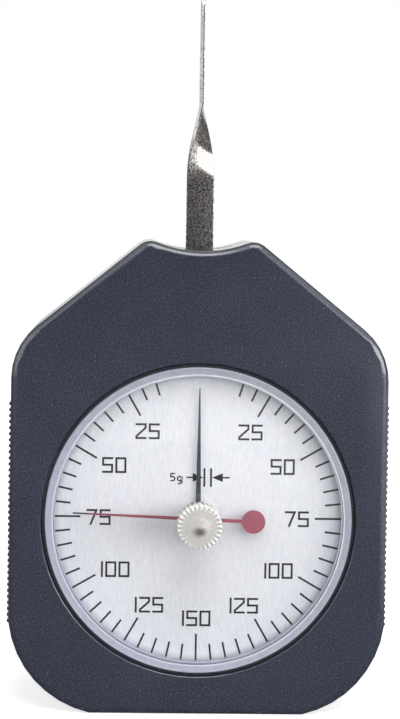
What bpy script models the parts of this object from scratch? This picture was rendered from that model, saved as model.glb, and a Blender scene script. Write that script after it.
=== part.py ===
"""Pocket dial tension gauge: a moulded case round a lever, sector and pinion movement.

Metres, +Z up along the feeler, dial facing -Y, origin at the middle of the flat base.
Each piece hangs from an empty whose own +Z points forward out of the dial. Outlines are
therefore drawn as the front view shows them, and "front" and "rear" are depths along
that local Z, counted from the middle of the case.
"""
import math

import bmesh
import bpy
from mathutils import Vector

# Clearances, cutter overrun, and the distance under which two points are one
SEAT = 0.0003
FIT = 0.0001
OVERRUN = 0.001
WELD = 0.000001

# Case outline, seen from the front
BODY_WIDTH = 0.062
CORNER_RUN = 0.0134
CORNER_RISE = 0.0148
CORNER_RADIUS = 0.0173
SHOULDER_RISE = 0.02305
SHOULDER_RADIUS = 0.011
ROOF_PITCH = math.radians(39)
SCOOP_DROP = 0.0092
SCOOP_RADIUS = 0.021
HUMP_RADIUS = 0.0028
LEAST_HUMP_RADIUS = 0.0003
EDGE_ROUND = 0.0011
CASE_WALL = 0.0022
WINDOW_LEDGE = 0.0052
BASE_LEDGE = 0.0064
WINDOW_CHAMFER = 0.0003

# Grip ribs down both sides
RIB_PITCH = 0.001
RIB_FOOT_WIDTH = 0.00066
RIB_CREST_WIDTH = 0.00036
RIB_HEIGHT = 0.00038
RIB_ROOT = 0.0004
RIB_FRONT_MARGIN = 0.0025
RIB_REAR_MARGIN = 0.001
RIB_TOP_MARGIN = 0.0037

# Layers from the front face of the case to its back
FRONT_WALL = 0.0031
DIAL_THICKNESS = 0.0006
DIAL_STANDOFF = 0.0015
PLATE_THICKNESS = 0.0015
SECTOR_SETBACK = 0.0022
SECTOR_THICKNESS = 0.0012
HUB_SETBACK = 0.0007
HUB_THICKNESS = 0.0019
BLADE_THICKNESS = 0.0007
CLAMP_THICKNESS = 0.0007
BLADE_SCREW_HEAD = 0.0005
SPRING_SETBACK = 0.0004
SPRING_WIDTH = 0.001
SPRING_STANDOFF = 0.0008
REAR_ROOM = 0.0025
COVER_THICKNESS = 0.0026

# Lens, its seal and the dial
LENS_THICKNESS = 0.0012
LENS_WALL = 0.00135
LENS_BEVEL = 0.0003
LENS_GAP = 0.0006
SEAL_SETBACK = 0.0005
DIAL_OVERLAP = 0.0008
DIAL_BORE_RADIUS = 0.0015
DIAL_FOOT_SHARE = 0.677
DIAL_FOOT_RADIUS = 0.0014
DIAL_PIN_RADIUS = 0.0008

# Feeler
PIVOT_DEPTH = 0.0102
TONGUE_CLEARANCE = 0.001
HUB_RADIUS = 0.004
HUB_TONGUE_WIDTH = 0.005
BLADE_WIDTH = 0.0047
BLADE_TIP_DEPTH = 0.0032
BLADE_EDGE = 0.00012
BLADE_FOOT = 0.0023
BLADE_FLAT_TOP = 0.0222
BLADE_TWIST_TOP = 0.035
BLADE_LENGTH = 0.0525
BLADE_TIP_TAPER = 0.0009
CLAMP_MARGIN = 0.00015
SLOT_SIDE = 0.00065
FEELER_SWING = math.radians(15)
LEVER_SHAFT_RADIUS = 0.0015
LEVER_PIVOT_RADIUS = 0.0009
BLADE_SCREW_RADIUS = 0.00055
BLADE_SCREW_HEAD_RADIUS = 0.00095
BLADE_SCREW_SHY = 0.0002
LOWER_CLAMP_SHARE = 0.5
UPPER_CLAMP_SHARE = 0.83

# Sector and pinion
PINION_TEETH = 12
SECTOR_FULL_TEETH = 144
PRESSURE_ANGLE = math.radians(20)
SECTOR_ADDENDUM_SHARE = 0.7
PINION_ADDENDUM_SHARE = 1.0
DEDENDUM_SHARE = 1.25
TOOTH_PLAY = 0.00008
SECTOR_RIM = 0.003
SECTOR_ARM = 0.0016
SECTOR_END_MARGIN = 0.0004
SECTOR_EYE_RADIUS = 0.0046
SECTOR_WINDOW_INNER = 0.0105
SECTOR_COLLAR_RADIUS = 0.0032
SECTOR_COLLAR_LENGTH = 0.0011
PINION_OVERHANG = 0.0004

# Needle, drag hand and reset knob
NEEDLE_LIFT = 0.00075
SHEET = 0.0002
NEEDLE_TIP_GAP = 0.00225
NEEDLE_ROOT_WIDTH = 0.0009
NEEDLE_TIP_WIDTH = 0.0002
NEEDLE_EYE_RADIUS = 0.0018
NEEDLE_HUB_RADIUS = 0.00105
NEEDLE_FLANGE_RADIUS = 0.0014
DRIVE_PIN_RADIUS = 0.00025
DRIVE_PIN_REACH = 0.0062
DRIVE_PIN_SHARE = 0.6
HUB_TOP_SHARE = 0.35
ARBOR_TOP_SHARE = 0.4
STEM_FOOT_SHARE = 0.15
HAND_SETBACK = 0.00055
HAND_TIP_GAP = 0.00315
HAND_ROOT_WIDTH = 0.00058
HAND_TIP_WIDTH = 0.0002
HAND_EYE_RADIUS = 0.0023
WEIGHT_REACH = 0.00917
WEIGHT_RADIUS = 0.00194
HAND_BOSS_RADIUS = 0.002
HAND_REST = math.radians(87.75)
STEM_RADIUS = 0.0012
WASHER_RADIUS = 0.0032
WASHER_THICKNESS = 0.00025
KNOB_NECK_RADIUS = 0.0025
KNOB_NECK_LENGTH = 0.0026
KNOB_HEAD_RADIUS = 0.00365
KNOB_HEAD_LENGTH = 0.003
KNOB_FLUTES = 28
KNOB_FLUTE_DEPTH = 0.00022
KNOB_BEVEL = 0.0002
KNOB_DIMPLE = 0.0006

# Movement plates, pillars, bushes and arbor
LOBE_RADIUS = 0.0028
UPPER_PILLAR_SPREAD = 0.0115
UPPER_PILLAR_RISE = 0.0005
LOWER_PILLAR_SPREAD_SHARE = 0.64
LOWER_PILLAR_DROP_SHARE = 0.52
PILLAR_RADIUS = 0.002
PILLAR_SPIGOT_RADIUS = 0.0012
PILLAR_TAP_DEPTH = 0.003
SMALL_SCREW_RADIUS = 0.0009
SMALL_SCREW_HEAD_RADIUS = 0.0017
SMALL_SCREW_HEAD = 0.0009
SMALL_SCREW_SHY = 0.0003
UPPER_SCREW_SPREAD_SHARE = 0.6
UPPER_SCREW_DROP = 0.0038
LOWER_SCREW_ANGLE = math.radians(50)
MOVEMENT_BOSS_RADIUS = 0.0026
BOSS_DIAL_GAP = 0.0007
BOSS_HOLE_DEPTH = 0.0034
BUSH_RADIUS = 0.0019
BUSH_FLANGE_RADIUS = 0.0025
BUSH_FLANGE = 0.0005
ARBOR_RADIUS = 0.0007
ARBOR_PIVOT_RADIUS = 0.0005
ARBOR_FRONT_RADIUS = 0.0006
STOP_PIN_RADIUS = 0.001
STOP_PIN_SPIGOT_RADIUS = 0.0007
STOP_PIN_REACH_SHARE = 0.588
STOP_PIN_OVERHANG = 0.0008
STOP_CLEARANCE = math.radians(0.6)

# Measuring spring and hairspring
SPRING_COLLET_RADIUS = 0.0024
SPRING_INNER_RADIUS = 0.0029
SPRING_OUTER_RADIUS = 0.008
SPRING_TURNS = 3.6
SPRING_THICKNESS = 0.00035
HAIR_COLLET_RADIUS = 0.0013
HAIR_INNER_RADIUS = 0.0018
HAIR_OUTER_RADIUS = 0.0061
HAIR_TURNS = 5.25
HAIR_THICKNESS = 0.00018
HAIR_WIDTH = 0.0008
STUD_RADIUS = 0.0008
STUD_SPIGOT_RADIUS = 0.0005

# Rear cover fastening
COVER_BOSS_RADIUS = 0.0026
COVER_BOSS_ROOT = 0.0006
COVER_BOSS_RISE = 0.0162
COVER_SCREW_RADIUS = 0.0011
COVER_SCREW_HEAD_RADIUS = 0.0021
COVER_SCREW_HEAD = 0.0011
COVER_SCREW_RECESS = 0.0003
COVER_SCREW_LENGTH = 0.0075
LIP_WIDTH = 0.0012
LIP_LENGTH = 0.0012
SCREW_SLOT_WIDTH_SHARE = 0.26
SCREW_SLOT_DEPTH_SHARE = 0.45

# Facets, and the angle from which an edge is a real one
SHARP_ANGLE = math.radians(35)
KNOB_SHARP_ANGLE = math.radians(20)
LENS_STEPS = 56
KNOB_STEPS = 24
BOSS_STEPS = 16
SMALL_STEPS = 12
TINY_STEPS = 10
CORNER_STEPS = 8
SHOULDER_STEPS = 5
EDGE_ROUND_STEPS = 3
HUMP_STEPS = 5
SCOOP_STEPS = 5
LOBE_STEPS = 4
SPRING_STEPS = 16
HAIR_STEPS = 12
TWIST_STEPS = 14
SECTOR_FLANK_STEPS = 2
PINION_FLANK_STEPS = 2
SECTOR_RIM_STEPS = 8
SECTOR_EYE_STEPS = 2

# Depths of the layers
BODY_DEPTH = (
    FRONT_WALL + SEAT + DIAL_THICKNESS + DIAL_STANDOFF + PLATE_THICKNESS + SECTOR_SETBACK
    + SECTOR_THICKNESS + HUB_SETBACK + HUB_THICKNESS + FIT + BLADE_THICKNESS + FIT + CLAMP_THICKNESS
    + FIT + BLADE_SCREW_HEAD + SPRING_SETBACK + SPRING_WIDTH + SPRING_STANDOFF + PLATE_THICKNESS
    + REAR_ROOM + COVER_THICKNESS
)
CASE_FRONT = BODY_DEPTH / 2
CASE_REAR = -CASE_FRONT
WALL_REAR = CASE_FRONT - FRONT_WALL
DIAL_FRONT = WALL_REAR - SEAT
DIAL_REAR = DIAL_FRONT - DIAL_THICKNESS
PLATE_FRONT = DIAL_REAR - DIAL_STANDOFF
PLATE_REAR = PLATE_FRONT - PLATE_THICKNESS
SECTOR_FRONT = PLATE_REAR - SECTOR_SETBACK
SECTOR_REAR = SECTOR_FRONT - SECTOR_THICKNESS
HUB_FRONT = SECTOR_REAR - HUB_SETBACK
HUB_REAR = HUB_FRONT - HUB_THICKNESS
BLADE_FRONT = HUB_REAR - FIT
BLADE_REAR = BLADE_FRONT - BLADE_THICKNESS
BLADE_MIDDLE = (BLADE_FRONT + BLADE_REAR) / 2
CLAMP_FRONT = BLADE_REAR - FIT
CLAMP_REAR = CLAMP_FRONT - CLAMP_THICKNESS
SPRING_FRONT = CLAMP_REAR - FIT - BLADE_SCREW_HEAD - SPRING_SETBACK
SPRING_REAR = SPRING_FRONT - SPRING_WIDTH
BACK_PLATE_FRONT = SPRING_REAR - SPRING_STANDOFF
BACK_PLATE_REAR = BACK_PLATE_FRONT - PLATE_THICKNESS
COVER_FRONT = BACK_PLATE_REAR - REAR_ROOM
CASE_RIM = COVER_FRONT + SEAT
LENS_REAR = CASE_FRONT - LENS_THICKNESS
NEEDLE_REAR = DIAL_FRONT + NEEDLE_LIFT
NEEDLE_FRONT = NEEDLE_REAR + SHEET
HAND_FRONT = LENS_REAR - HAND_SETBACK
HAND_REAR = HAND_FRONT - SHEET
HAND_SPACE = HAND_REAR - NEEDLE_FRONT

# Window and dial, then heights, with the roof line found from the shoulder
WINDOW_RADIUS = BODY_WIDTH / 2 - WINDOW_LEDGE
LENS_RADIUS = WINDOW_RADIUS - LENS_GAP
LENS_INNER_RADIUS = LENS_RADIUS - LENS_WALL
DIAL_RADIUS = WINDOW_RADIUS + DIAL_OVERLAP
DIAL_HEIGHT = WINDOW_RADIUS + BASE_LEDGE
SHOULDER_HEIGHT = DIAL_HEIGHT + SHOULDER_RISE
ROOF_ANGLE = math.pi / 2 - ROOF_PITCH
ROOF_NORMAL = Vector((math.cos(ROOF_ANGLE), math.sin(ROOF_ANGLE)))
ROOF_RISE = Vector((-ROOF_NORMAL.y, ROOF_NORMAL.x))
SHOULDER_CENTRE = Vector((BODY_WIDTH / 2 - SHOULDER_RADIUS, SHOULDER_HEIGHT))
ROOF_REACH = ROOF_NORMAL.dot(SHOULDER_CENTRE) + SHOULDER_RADIUS
SCOOP_FLOOR = ROOF_REACH / ROOF_NORMAL.y - SCOOP_DROP
PIVOT_HEIGHT = SCOOP_FLOOR - PIVOT_DEPTH
GEAR_DISTANCE = PIVOT_HEIGHT - DIAL_HEIGHT
GEAR_MODULE = 2 * GEAR_DISTANCE / (PINION_TEETH + SECTOR_FULL_TEETH)
TONGUE_TOP = PIVOT_DEPTH - CASE_WALL - TONGUE_CLEARANCE

# Places on the case and the movement, seen from the front
DIAL_FOOT_SPREAD = DIAL_RADIUS * DIAL_FOOT_SHARE
STOP_PIN_REACH = GEAR_DISTANCE * STOP_PIN_REACH_SHARE
LOWER_SCREW_REACH = DIAL_RADIUS + BOSS_DIAL_GAP + MOVEMENT_BOSS_RADIUS
MOVEMENT_SCREWS = [
    (side * LOWER_SCREW_REACH * math.cos(LOWER_SCREW_ANGLE),
     DIAL_HEIGHT - LOWER_SCREW_REACH * math.sin(LOWER_SCREW_ANGLE)) for side in (1, -1)
] + [(side * DIAL_RADIUS * UPPER_SCREW_SPREAD_SHARE, PIVOT_HEIGHT - UPPER_SCREW_DROP) for side in (1, -1)]
UPPER_PILLARS = [(side * UPPER_PILLAR_SPREAD, PIVOT_HEIGHT + UPPER_PILLAR_RISE) for side in (1, -1)]
LOWER_PILLARS = [
    (side * DIAL_RADIUS * LOWER_PILLAR_SPREAD_SHARE, DIAL_HEIGHT - DIAL_RADIUS * LOWER_PILLAR_DROP_SHARE)
    for side in (1, -1)
]
COVER_BOSS_SPREAD = BODY_WIDTH / 2 - CASE_WALL - COVER_BOSS_RADIUS + COVER_BOSS_ROOT
COVER_SCREWS = [
    (side * COVER_BOSS_SPREAD, DIAL_HEIGHT + rise * COVER_BOSS_RISE) for rise in (1, -1) for side in (1, -1)
]

for old in list(bpy.data.objects):
    bpy.data.objects.remove(old, do_unlink=True)

PARTS = bpy.data.collections.new("force_gauge")
CUTTERS = bpy.data.collections.new("cutters")
bpy.context.scene.collection.children.link(PARTS)
bpy.context.scene.collection.children.link(CUTTERS)


def frame_at(name, height):
    """Add an empty at a height on the middle line, with its +Z pointing forward."""
    empty = bpy.data.objects.new(name, None)
    PARTS.objects.link(empty)
    empty.location = (0, 0, height)
    empty.rotation_euler = (math.pi / 2, 0, 0)
    return empty


CASE_FRAME = frame_at("case_frame", 0)
DIAL_AXIS = frame_at("dial_axis", DIAL_HEIGHT)
FEELER_AXIS = frame_at("feeler_axis", PIVOT_HEIGHT)


def finish(name, colour_hex, roughness, metallic):
    """Make a plain Principled material from an sRGB hex colour."""
    material = bpy.data.materials.new(name)
    material.use_nodes = True
    shader = material.node_tree.nodes["Principled BSDF"]
    channels = []
    for start in (0, 2, 4):
        value = int(colour_hex[start:start + 2], 16) / 255
        channels.append(value / 12.92 if value <= 0.04045 else ((value + 0.055) / 1.055) ** 2.4)
    shader.inputs["Base Color"].default_value = (*channels, 1)
    shader.inputs["Roughness"].default_value = roughness
    shader.inputs["Metallic"].default_value = metallic
    return material


HOUSING = finish("moulded_housing", "3d4149", 0.55, 0)
ACRYLIC = finish("clear_acrylic", "e6eef0", 0.05, 0)
ACRYLIC.node_tree.nodes["Principled BSDF"].inputs["Transmission Weight"].default_value = 1
SEAL = finish("black_rubber", "141416", 0.7, 0)
SILVERED = finish("silvered_dial", "e2e5e8", 0.4, 0.2)
BRASS = finish("brass", "b9994f", 0.35, 1)
STEEL = finish("steel", "b4b2ae", 0.3, 1)
SPRING_STEEL = finish("spring_steel", "6f7c92", 0.3, 1)
NICKEL = finish("nickel_plate", "cfccc6", 0.3, 1)
BLACK_ENAMEL = finish("black_enamel", "121214", 0.4, 0)
RED_ENAMEL = finish("red_enamel", "b23a50", 0.45, 0)


def polar(radius, angle):
    """Point at a radius and an angle from the middle."""
    return (radius * math.cos(angle), radius * math.sin(angle))


def arc(centre, radius, start, end, steps):
    """Points on an arc, both ends included."""
    points = []
    for index in range(steps + 1):
        x, y = polar(radius, start + (end - start) * index / steps)
        points.append((centre[0] + x, centre[1] + y))
    return points


def circle(centre, radius, steps):
    """Points round a circle, the first one not repeated."""
    return arc(centre, radius, 0, 2 * math.pi, steps)[:-1]


def mirrored(right):
    """Close a right half outline that starts and ends on the middle line."""
    left = [(-x, y) for x, y in reversed(right) if x > 0]
    return right + left


def place(piece, parent, x, y, z, material):
    """Hang a piece from its frame and give it its material."""
    PARTS.objects.link(piece)
    piece.parent = parent
    piece.location = (x, y, z)
    piece.data.materials.append(material)
    return piece


def flat(name, loops, front, rear, parent, material, at=(0, 0)):
    """Make a flat piece from its outline and holes, between two depths."""
    curve = bpy.data.curves.new(name, "CURVE")
    curve.dimensions = "2D"
    curve.fill_mode = "BOTH"
    curve.extrude = (front - rear) / 2
    for loop in loops:
        spline = curve.splines.new("POLY")
        spline.points.add(len(loop) - 1)
        for point, (x, y) in zip(spline.points, loop):
            point.co = (x, y, 0, 1)
        spline.use_cyclic_u = True
    piece = bpy.data.objects.new(name, curve)
    return place(piece, parent, at[0], at[1], (front + rear) / 2, material)


def as_mesh(piece):
    """Turn a piece, with its modifiers, into a plain welded mesh of the same name."""
    bpy.context.view_layer.update()
    evaluated = piece.evaluated_get(bpy.context.evaluated_depsgraph_get())
    mesh = bpy.data.meshes.new_from_object(evaluated)
    welded = bmesh.new()
    welded.from_mesh(mesh)
    bmesh.ops.remove_doubles(welded, verts=welded.verts, dist=WELD)
    bmesh.ops.recalc_face_normals(welded, faces=welded.faces)
    welded.to_mesh(mesh)
    welded.free()
    name = piece.name
    solid = bpy.data.objects.new(name, mesh)
    PARTS.objects.link(solid)
    solid.parent = piece.parent
    solid.location = piece.location.copy()
    solid.rotation_euler = piece.rotation_euler.copy()
    bpy.data.objects.remove(piece, do_unlink=True)
    solid.name = name
    return solid


def soften(piece, sharp_angle=SHARP_ANGLE):
    """Shade a mesh smooth and keep its real edges sharp."""
    piece.data.shade_smooth()
    piece.data.set_sharp_from_angle(angle=sharp_angle)
    return piece


def turned(name, profile, steps, parent, material, at=(0, 0), is_ring=False):
    """Turn a profile of (radius, depth) points, run front to rear down its outer side."""
    mesh = bpy.data.meshes.new(name)
    lathe = bmesh.new()
    points = [lathe.verts.new((radius, 0, depth)) for radius, depth in profile]
    for first, second in zip(points, points[1:]):
        lathe.edges.new((first, second))
    if is_ring:
        lathe.edges.new((points[-1], points[0]))
    lathe.to_mesh(mesh)
    lathe.free()
    piece = bpy.data.objects.new(name, mesh)
    place(piece, parent, at[0], at[1], 0, material)
    screw = piece.modifiers.new("turn", "SCREW")
    screw.axis = "Z"
    screw.angle = 2 * math.pi
    screw.steps = steps
    screw.render_steps = steps
    screw.use_merge_vertices = True
    screw.merge_threshold = WELD
    screw.use_normal_calculate = True
    return soften(as_mesh(piece))


def ring(name, outer, inner, front, rear, steps, parent, material, at=(0, 0)):
    """Turn a plain ring, such as a washer or a collet."""
    profile = [(outer, front), (outer, rear), (inner, rear), (inner, front)]
    return turned(name, profile, steps, parent, material, at, is_ring=True)


def rod(name, sections, steps, parent, material, at=(0, 0)):
    """Turn a stepped solid from (radius, front, rear) sections, listed front to rear."""
    profile = [(0, sections[0][1])]
    for radius, front, rear in sections:
        profile.append((radius, front))
        profile.append((radius, rear))
    profile.append((0, sections[-1][2]))
    return turned(name, profile, steps, parent, material, at)


def cylinders(name, posts, steps):
    """One mesh of separate cylinders, each (x, y, radius, front, rear), for a Boolean."""
    mesh = bpy.data.meshes.new(name)
    batch = bmesh.new()
    for x, y, radius, front, rear in posts:
        made = bmesh.ops.create_cone(
            batch, cap_ends=True, segments=steps, radius1=radius, radius2=radius, depth=front - rear)
        bmesh.ops.translate(batch, verts=made["verts"], vec=(x, y, (front + rear) / 2))
    batch.to_mesh(mesh)
    batch.free()
    return bpy.data.objects.new(name, mesh)


def box(name, width, height, front, rear, centre):
    """A box between two depths, centred on a point of the front view."""
    mesh = bpy.data.meshes.new(name)
    block = bmesh.new()
    bmesh.ops.create_cube(block, size=1)
    bmesh.ops.scale(block, verts=block.verts, vec=(width, height, front - rear))
    bmesh.ops.translate(block, verts=block.verts, vec=(centre[0], centre[1], (front + rear) / 2))
    block.to_mesh(mesh)
    block.free()
    return bpy.data.objects.new(name, mesh)


def combine(piece, operand, operation):
    """Cut a piece with an operand, or join the two; the operand stays a hidden guide."""
    for collection in list(operand.users_collection):
        collection.objects.unlink(operand)
    CUTTERS.objects.link(operand)
    operand.hide_render = True
    operand.display_type = "WIRE"
    operand.parent = piece.parent
    modifier = piece.modifiers.new(operand.name, "BOOLEAN")
    modifier.operation = operation
    modifier.object = operand
    modifier.solver = "EXACT"
    return piece


def round_edges(piece, depth, width, segments):
    """Round the sharp edges of a flat mesh that lie at one local depth."""
    mesh = bmesh.new()
    mesh.from_mesh(piece.data)
    at_depth = {vertex for vertex in mesh.verts if math.isclose(vertex.co.z, depth, abs_tol=WELD)}
    # The cap becomes one face, so that its own short edges don't hold the rounding back
    cap = [face for face in mesh.faces if at_depth.issuperset(face.verts)]
    bmesh.ops.dissolve_faces(mesh, faces=cap)
    weight = mesh.edges.layers.float.new("bevel_weight_edge")
    for edge in mesh.edges:
        if at_depth.issuperset(edge.verts) and edge.calc_face_angle(0) > SHARP_ANGLE:
            edge[weight] = 1
    mesh.to_mesh(piece.data)
    mesh.free()
    bevel = piece.modifiers.new("rounded_edge", "BEVEL")
    bevel.limit_method = "WEIGHT"
    bevel.width = width
    bevel.segments = segments
    bevel.use_clamp_overlap = False


def corner_centre():
    """Centre of the arc that joins the base to a side."""
    foot = Vector((BODY_WIDTH / 2 - CORNER_RUN, 0))
    side = Vector((BODY_WIDTH / 2, CORNER_RISE))
    chord = side - foot
    inward = Vector((-chord.y, chord.x)).normalized()
    return (foot + side) / 2 + inward * math.sqrt(CORNER_RADIUS ** 2 - chord.length_squared / 4)


def hump_and_scoop(inset):
    """Centres of the hump and the scoop, and the hump's radius, at an inset."""
    scoop = Vector((0, SCOOP_FLOOR + SCOOP_RADIUS))
    radius = max(HUMP_RADIUS - inset, LEAST_HUMP_RADIUS)
    along = ROOF_NORMAL * (ROOF_REACH - inset - radius)
    reach = SCOOP_RADIUS + inset + radius
    half_sum = (along - scoop).dot(ROOF_RISE)
    travel = -half_sum - math.sqrt(half_sum ** 2 - (along - scoop).length_squared + reach ** 2)
    return along + ROOF_RISE * travel, radius, scoop


def case_outline(inset):
    """The case's outline, or a line parallel to it inside."""
    half = BODY_WIDTH / 2 - inset
    corner = corner_centre()
    corner_radius = CORNER_RADIUS - inset
    foot_angle = math.asin(max(-1.0, (inset - corner.y) / corner_radius))
    side_angle = -math.acos(min(1.0, (half - corner.x) / corner_radius))
    right = arc(corner, corner_radius, foot_angle, side_angle, CORNER_STEPS)
    right += arc(SHOULDER_CENTRE, SHOULDER_RADIUS - inset, 0, ROOF_ANGLE, SHOULDER_STEPS)
    hump, hump_radius, scoop = hump_and_scoop(inset)
    towards_scoop = math.atan2(scoop.y - hump.y, scoop.x - hump.x)
    right += arc(hump, hump_radius, ROOF_ANGLE, towards_scoop, HUMP_STEPS)
    right += arc(scoop, SCOOP_RADIUS + inset, towards_scoop - math.pi, -math.pi / 2, SCOOP_STEPS)[1:-1]
    return mirrored(right + [(0, SCOOP_FLOOR - inset)])


def slot_width():
    """Width of the feeler's slot where the swung blade leaves the scoop."""
    guess = BLADE_WIDTH / 2 + PIVOT_DEPTH * math.tan(FEELER_SWING)
    rim_rise = SCOOP_RADIUS - math.sqrt(SCOOP_RADIUS ** 2 - guess ** 2)
    reach = (PIVOT_DEPTH + rim_rise) * math.tan(FEELER_SWING)
    return 2 * (reach + BLADE_WIDTH / 2 / math.cos(FEELER_SWING) + SEAT)


def grip_ribs():
    """Both rows of grip ribs, as one guide that the case is joined with."""
    wall = BODY_WIDTH / 2
    loop = [
        (wall - RIB_ROOT, -RIB_FOOT_WIDTH / 2),
        (wall, -RIB_FOOT_WIDTH / 2),
        (wall + RIB_HEIGHT, -RIB_CREST_WIDTH / 2),
        (wall + RIB_HEIGHT, RIB_CREST_WIDTH / 2),
        (wall, RIB_FOOT_WIDTH / 2),
        (wall - RIB_ROOT, RIB_FOOT_WIDTH / 2),
    ]
    front = CASE_FRONT - RIB_FRONT_MARGIN
    rear = CASE_RIM + RIB_REAR_MARGIN
    ribs = as_mesh(flat("grip_ribs", [loop], front, rear, CASE_FRAME, HOUSING, (0, CORNER_RISE)))
    rows = ribs.modifiers.new("rows", "ARRAY")
    rows.count = int((SHOULDER_HEIGHT - RIB_TOP_MARGIN - CORNER_RISE) / RIB_PITCH) + 1
    rows.use_relative_offset = False
    rows.use_constant_offset = True
    rows.constant_offset_displace = (0, RIB_PITCH, 0)
    both = ribs.modifiers.new("both_sides", "MIRROR")
    both.use_mirror_merge = False
    return ribs


def build_front_case():
    """Front moulding: window, cavity, screw bosses, feeler slot and grip ribs."""
    case = as_mesh(flat("front_case", [case_outline(0)], CASE_FRONT, CASE_RIM, CASE_FRAME, HOUSING))
    round_edges(case, (CASE_FRONT - CASE_RIM) / 2, EDGE_ROUND, EDGE_ROUND_STEPS)
    cavity = as_mesh(
        flat("cavity", [case_outline(CASE_WALL)], WALL_REAR, CASE_RIM - OVERRUN, CASE_FRAME, HOUSING))
    combine(case, cavity, "DIFFERENCE")
    sunk = WALL_REAR + CASE_WALL / 2
    posts = [(x, y, COVER_BOSS_RADIUS, sunk, CASE_RIM + FIT) for x, y in COVER_SCREWS]
    posts += [(x, y, MOVEMENT_BOSS_RADIUS, sunk, PLATE_FRONT + SEAT) for x, y in MOVEMENT_SCREWS]
    combine(case, cylinders("bosses", posts, BOSS_STEPS), "UNION")
    tapped = CASE_RIM + FIT + COVER_SCREW_LENGTH
    bores = [(x, y, COVER_SCREW_RADIUS + FIT, tapped, CASE_RIM - OVERRUN) for x, y in COVER_SCREWS]
    top = PLATE_FRONT + SEAT + BOSS_HOLE_DEPTH
    bores += [(x, y, SMALL_SCREW_RADIUS + FIT, top, PLATE_REAR) for x, y in MOVEMENT_SCREWS]
    combine(case, cylinders("boss_bores", bores, SMALL_STEPS), "DIFFERENCE")
    window = turned(
        "window",
        [(0, CASE_FRONT + OVERRUN), (WINDOW_RADIUS + WINDOW_CHAMFER + OVERRUN, CASE_FRONT + OVERRUN),
         (WINDOW_RADIUS, CASE_FRONT - WINDOW_CHAMFER), (WINDOW_RADIUS, WALL_REAR - OVERRUN),
         (0, WALL_REAR - OVERRUN)],
        LENS_STEPS, CASE_FRAME, HOUSING, (0, DIAL_HEIGHT))
    combine(case, window, "DIFFERENCE")
    slot_front = BLADE_FRONT + SLOT_SIDE
    slot_rear = BLADE_REAR - SLOT_SIDE
    slot_height = CASE_WALL + SCOOP_DROP
    slot = box("feeler_slot", slot_width(), slot_height, slot_front, slot_rear,
               (0, SCOOP_FLOOR - CASE_WALL - OVERRUN + slot_height / 2))
    combine(case, slot, "DIFFERENCE")
    combine(case, grip_ribs(), "UNION")
    soften(case)


def build_rear_cover():
    """Rear cover with its locating lip and sunk screw heads."""
    cover = as_mesh(flat("rear_cover", [case_outline(0)], COVER_FRONT, CASE_REAR, CASE_FRAME, HOUSING))
    round_edges(cover, -COVER_THICKNESS / 2, EDGE_ROUND, EDGE_ROUND_STEPS)
    loops = [case_outline(CASE_WALL + SEAT), case_outline(CASE_WALL + SEAT + LIP_WIDTH)]
    lip_rear = COVER_FRONT - COVER_THICKNESS / 2
    lip = as_mesh(flat("lip", loops, COVER_FRONT + LIP_LENGTH, lip_rear, CASE_FRAME, HOUSING))
    reach = COVER_BOSS_RADIUS + SEAT
    notches = [(x, y, reach, COVER_FRONT + LIP_LENGTH + OVERRUN, lip_rear - OVERRUN) for x, y in COVER_SCREWS]
    combine(lip, cylinders("lip_notches", notches, BOSS_STEPS), "DIFFERENCE")
    lip = as_mesh(lip)
    combine(cover, lip, "UNION")
    floor = CASE_REAR + COVER_SCREW_RECESS + COVER_SCREW_HEAD + FIT
    holes = [(x, y, COVER_SCREW_HEAD_RADIUS + FIT, floor, CASE_REAR - OVERRUN) for x, y in COVER_SCREWS]
    combine(cover, cylinders("head_recesses", holes, SMALL_STEPS), "DIFFERENCE")
    bores = [(x, y, COVER_SCREW_RADIUS + FIT, COVER_FRONT + OVERRUN, CASE_REAR) for x, y in COVER_SCREWS]
    combine(cover, cylinders("cover_bores", bores, SMALL_STEPS), "DIFFERENCE")
    soften(cover)


def screws(name, places, radius, head_radius, head, tip, seat, parent, steps):
    """Slotted screws driven from the rear: the shank runs from its tip back to the seat."""
    pattern = rod(name, [(radius, tip, seat), (head_radius, seat, seat - head)], steps, parent, STEEL)
    slot_depth = head * SCREW_SLOT_DEPTH_SHARE
    slot = box(name + "_slot", 2 * (head_radius + OVERRUN), 2 * head_radius * SCREW_SLOT_WIDTH_SHARE,
               seat - head + slot_depth, seat - head - OVERRUN, (0, 0))
    combine(pattern, slot, "DIFFERENCE")
    pattern = as_mesh(pattern)
    bpy.data.objects.remove(slot, do_unlink=True)
    soften(pattern)
    for index, (x, y) in enumerate(places):
        screw = bpy.data.objects.new(f"{name}_{index + 1}", pattern.data)
        PARTS.objects.link(screw)
        screw.parent = parent
        screw.location = (x, y, 0)
    bpy.data.objects.remove(pattern, do_unlink=True)


def build_lens():
    """Clear cup-shaped lens with a hole for the knob's stem, and the seal round it."""
    bore = STEM_RADIUS + FIT
    profile = [
        (LENS_RADIUS - LENS_BEVEL, CASE_FRONT), (LENS_RADIUS, CASE_FRONT - LENS_BEVEL),
        (LENS_RADIUS, WALL_REAR), (LENS_INNER_RADIUS, WALL_REAR), (LENS_INNER_RADIUS, LENS_REAR),
        (bore, LENS_REAR), (bore, CASE_FRONT),
    ]
    turned("crystal", profile, LENS_STEPS, DIAL_AXIS, ACRYLIC, is_ring=True)
    ring("crystal_seal", WINDOW_RADIUS - FIT, LENS_RADIUS + FIT, CASE_FRONT - SEAL_SETBACK,
         WALL_REAR + SEAT, LENS_STEPS, DIAL_AXIS, SEAL)


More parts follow.
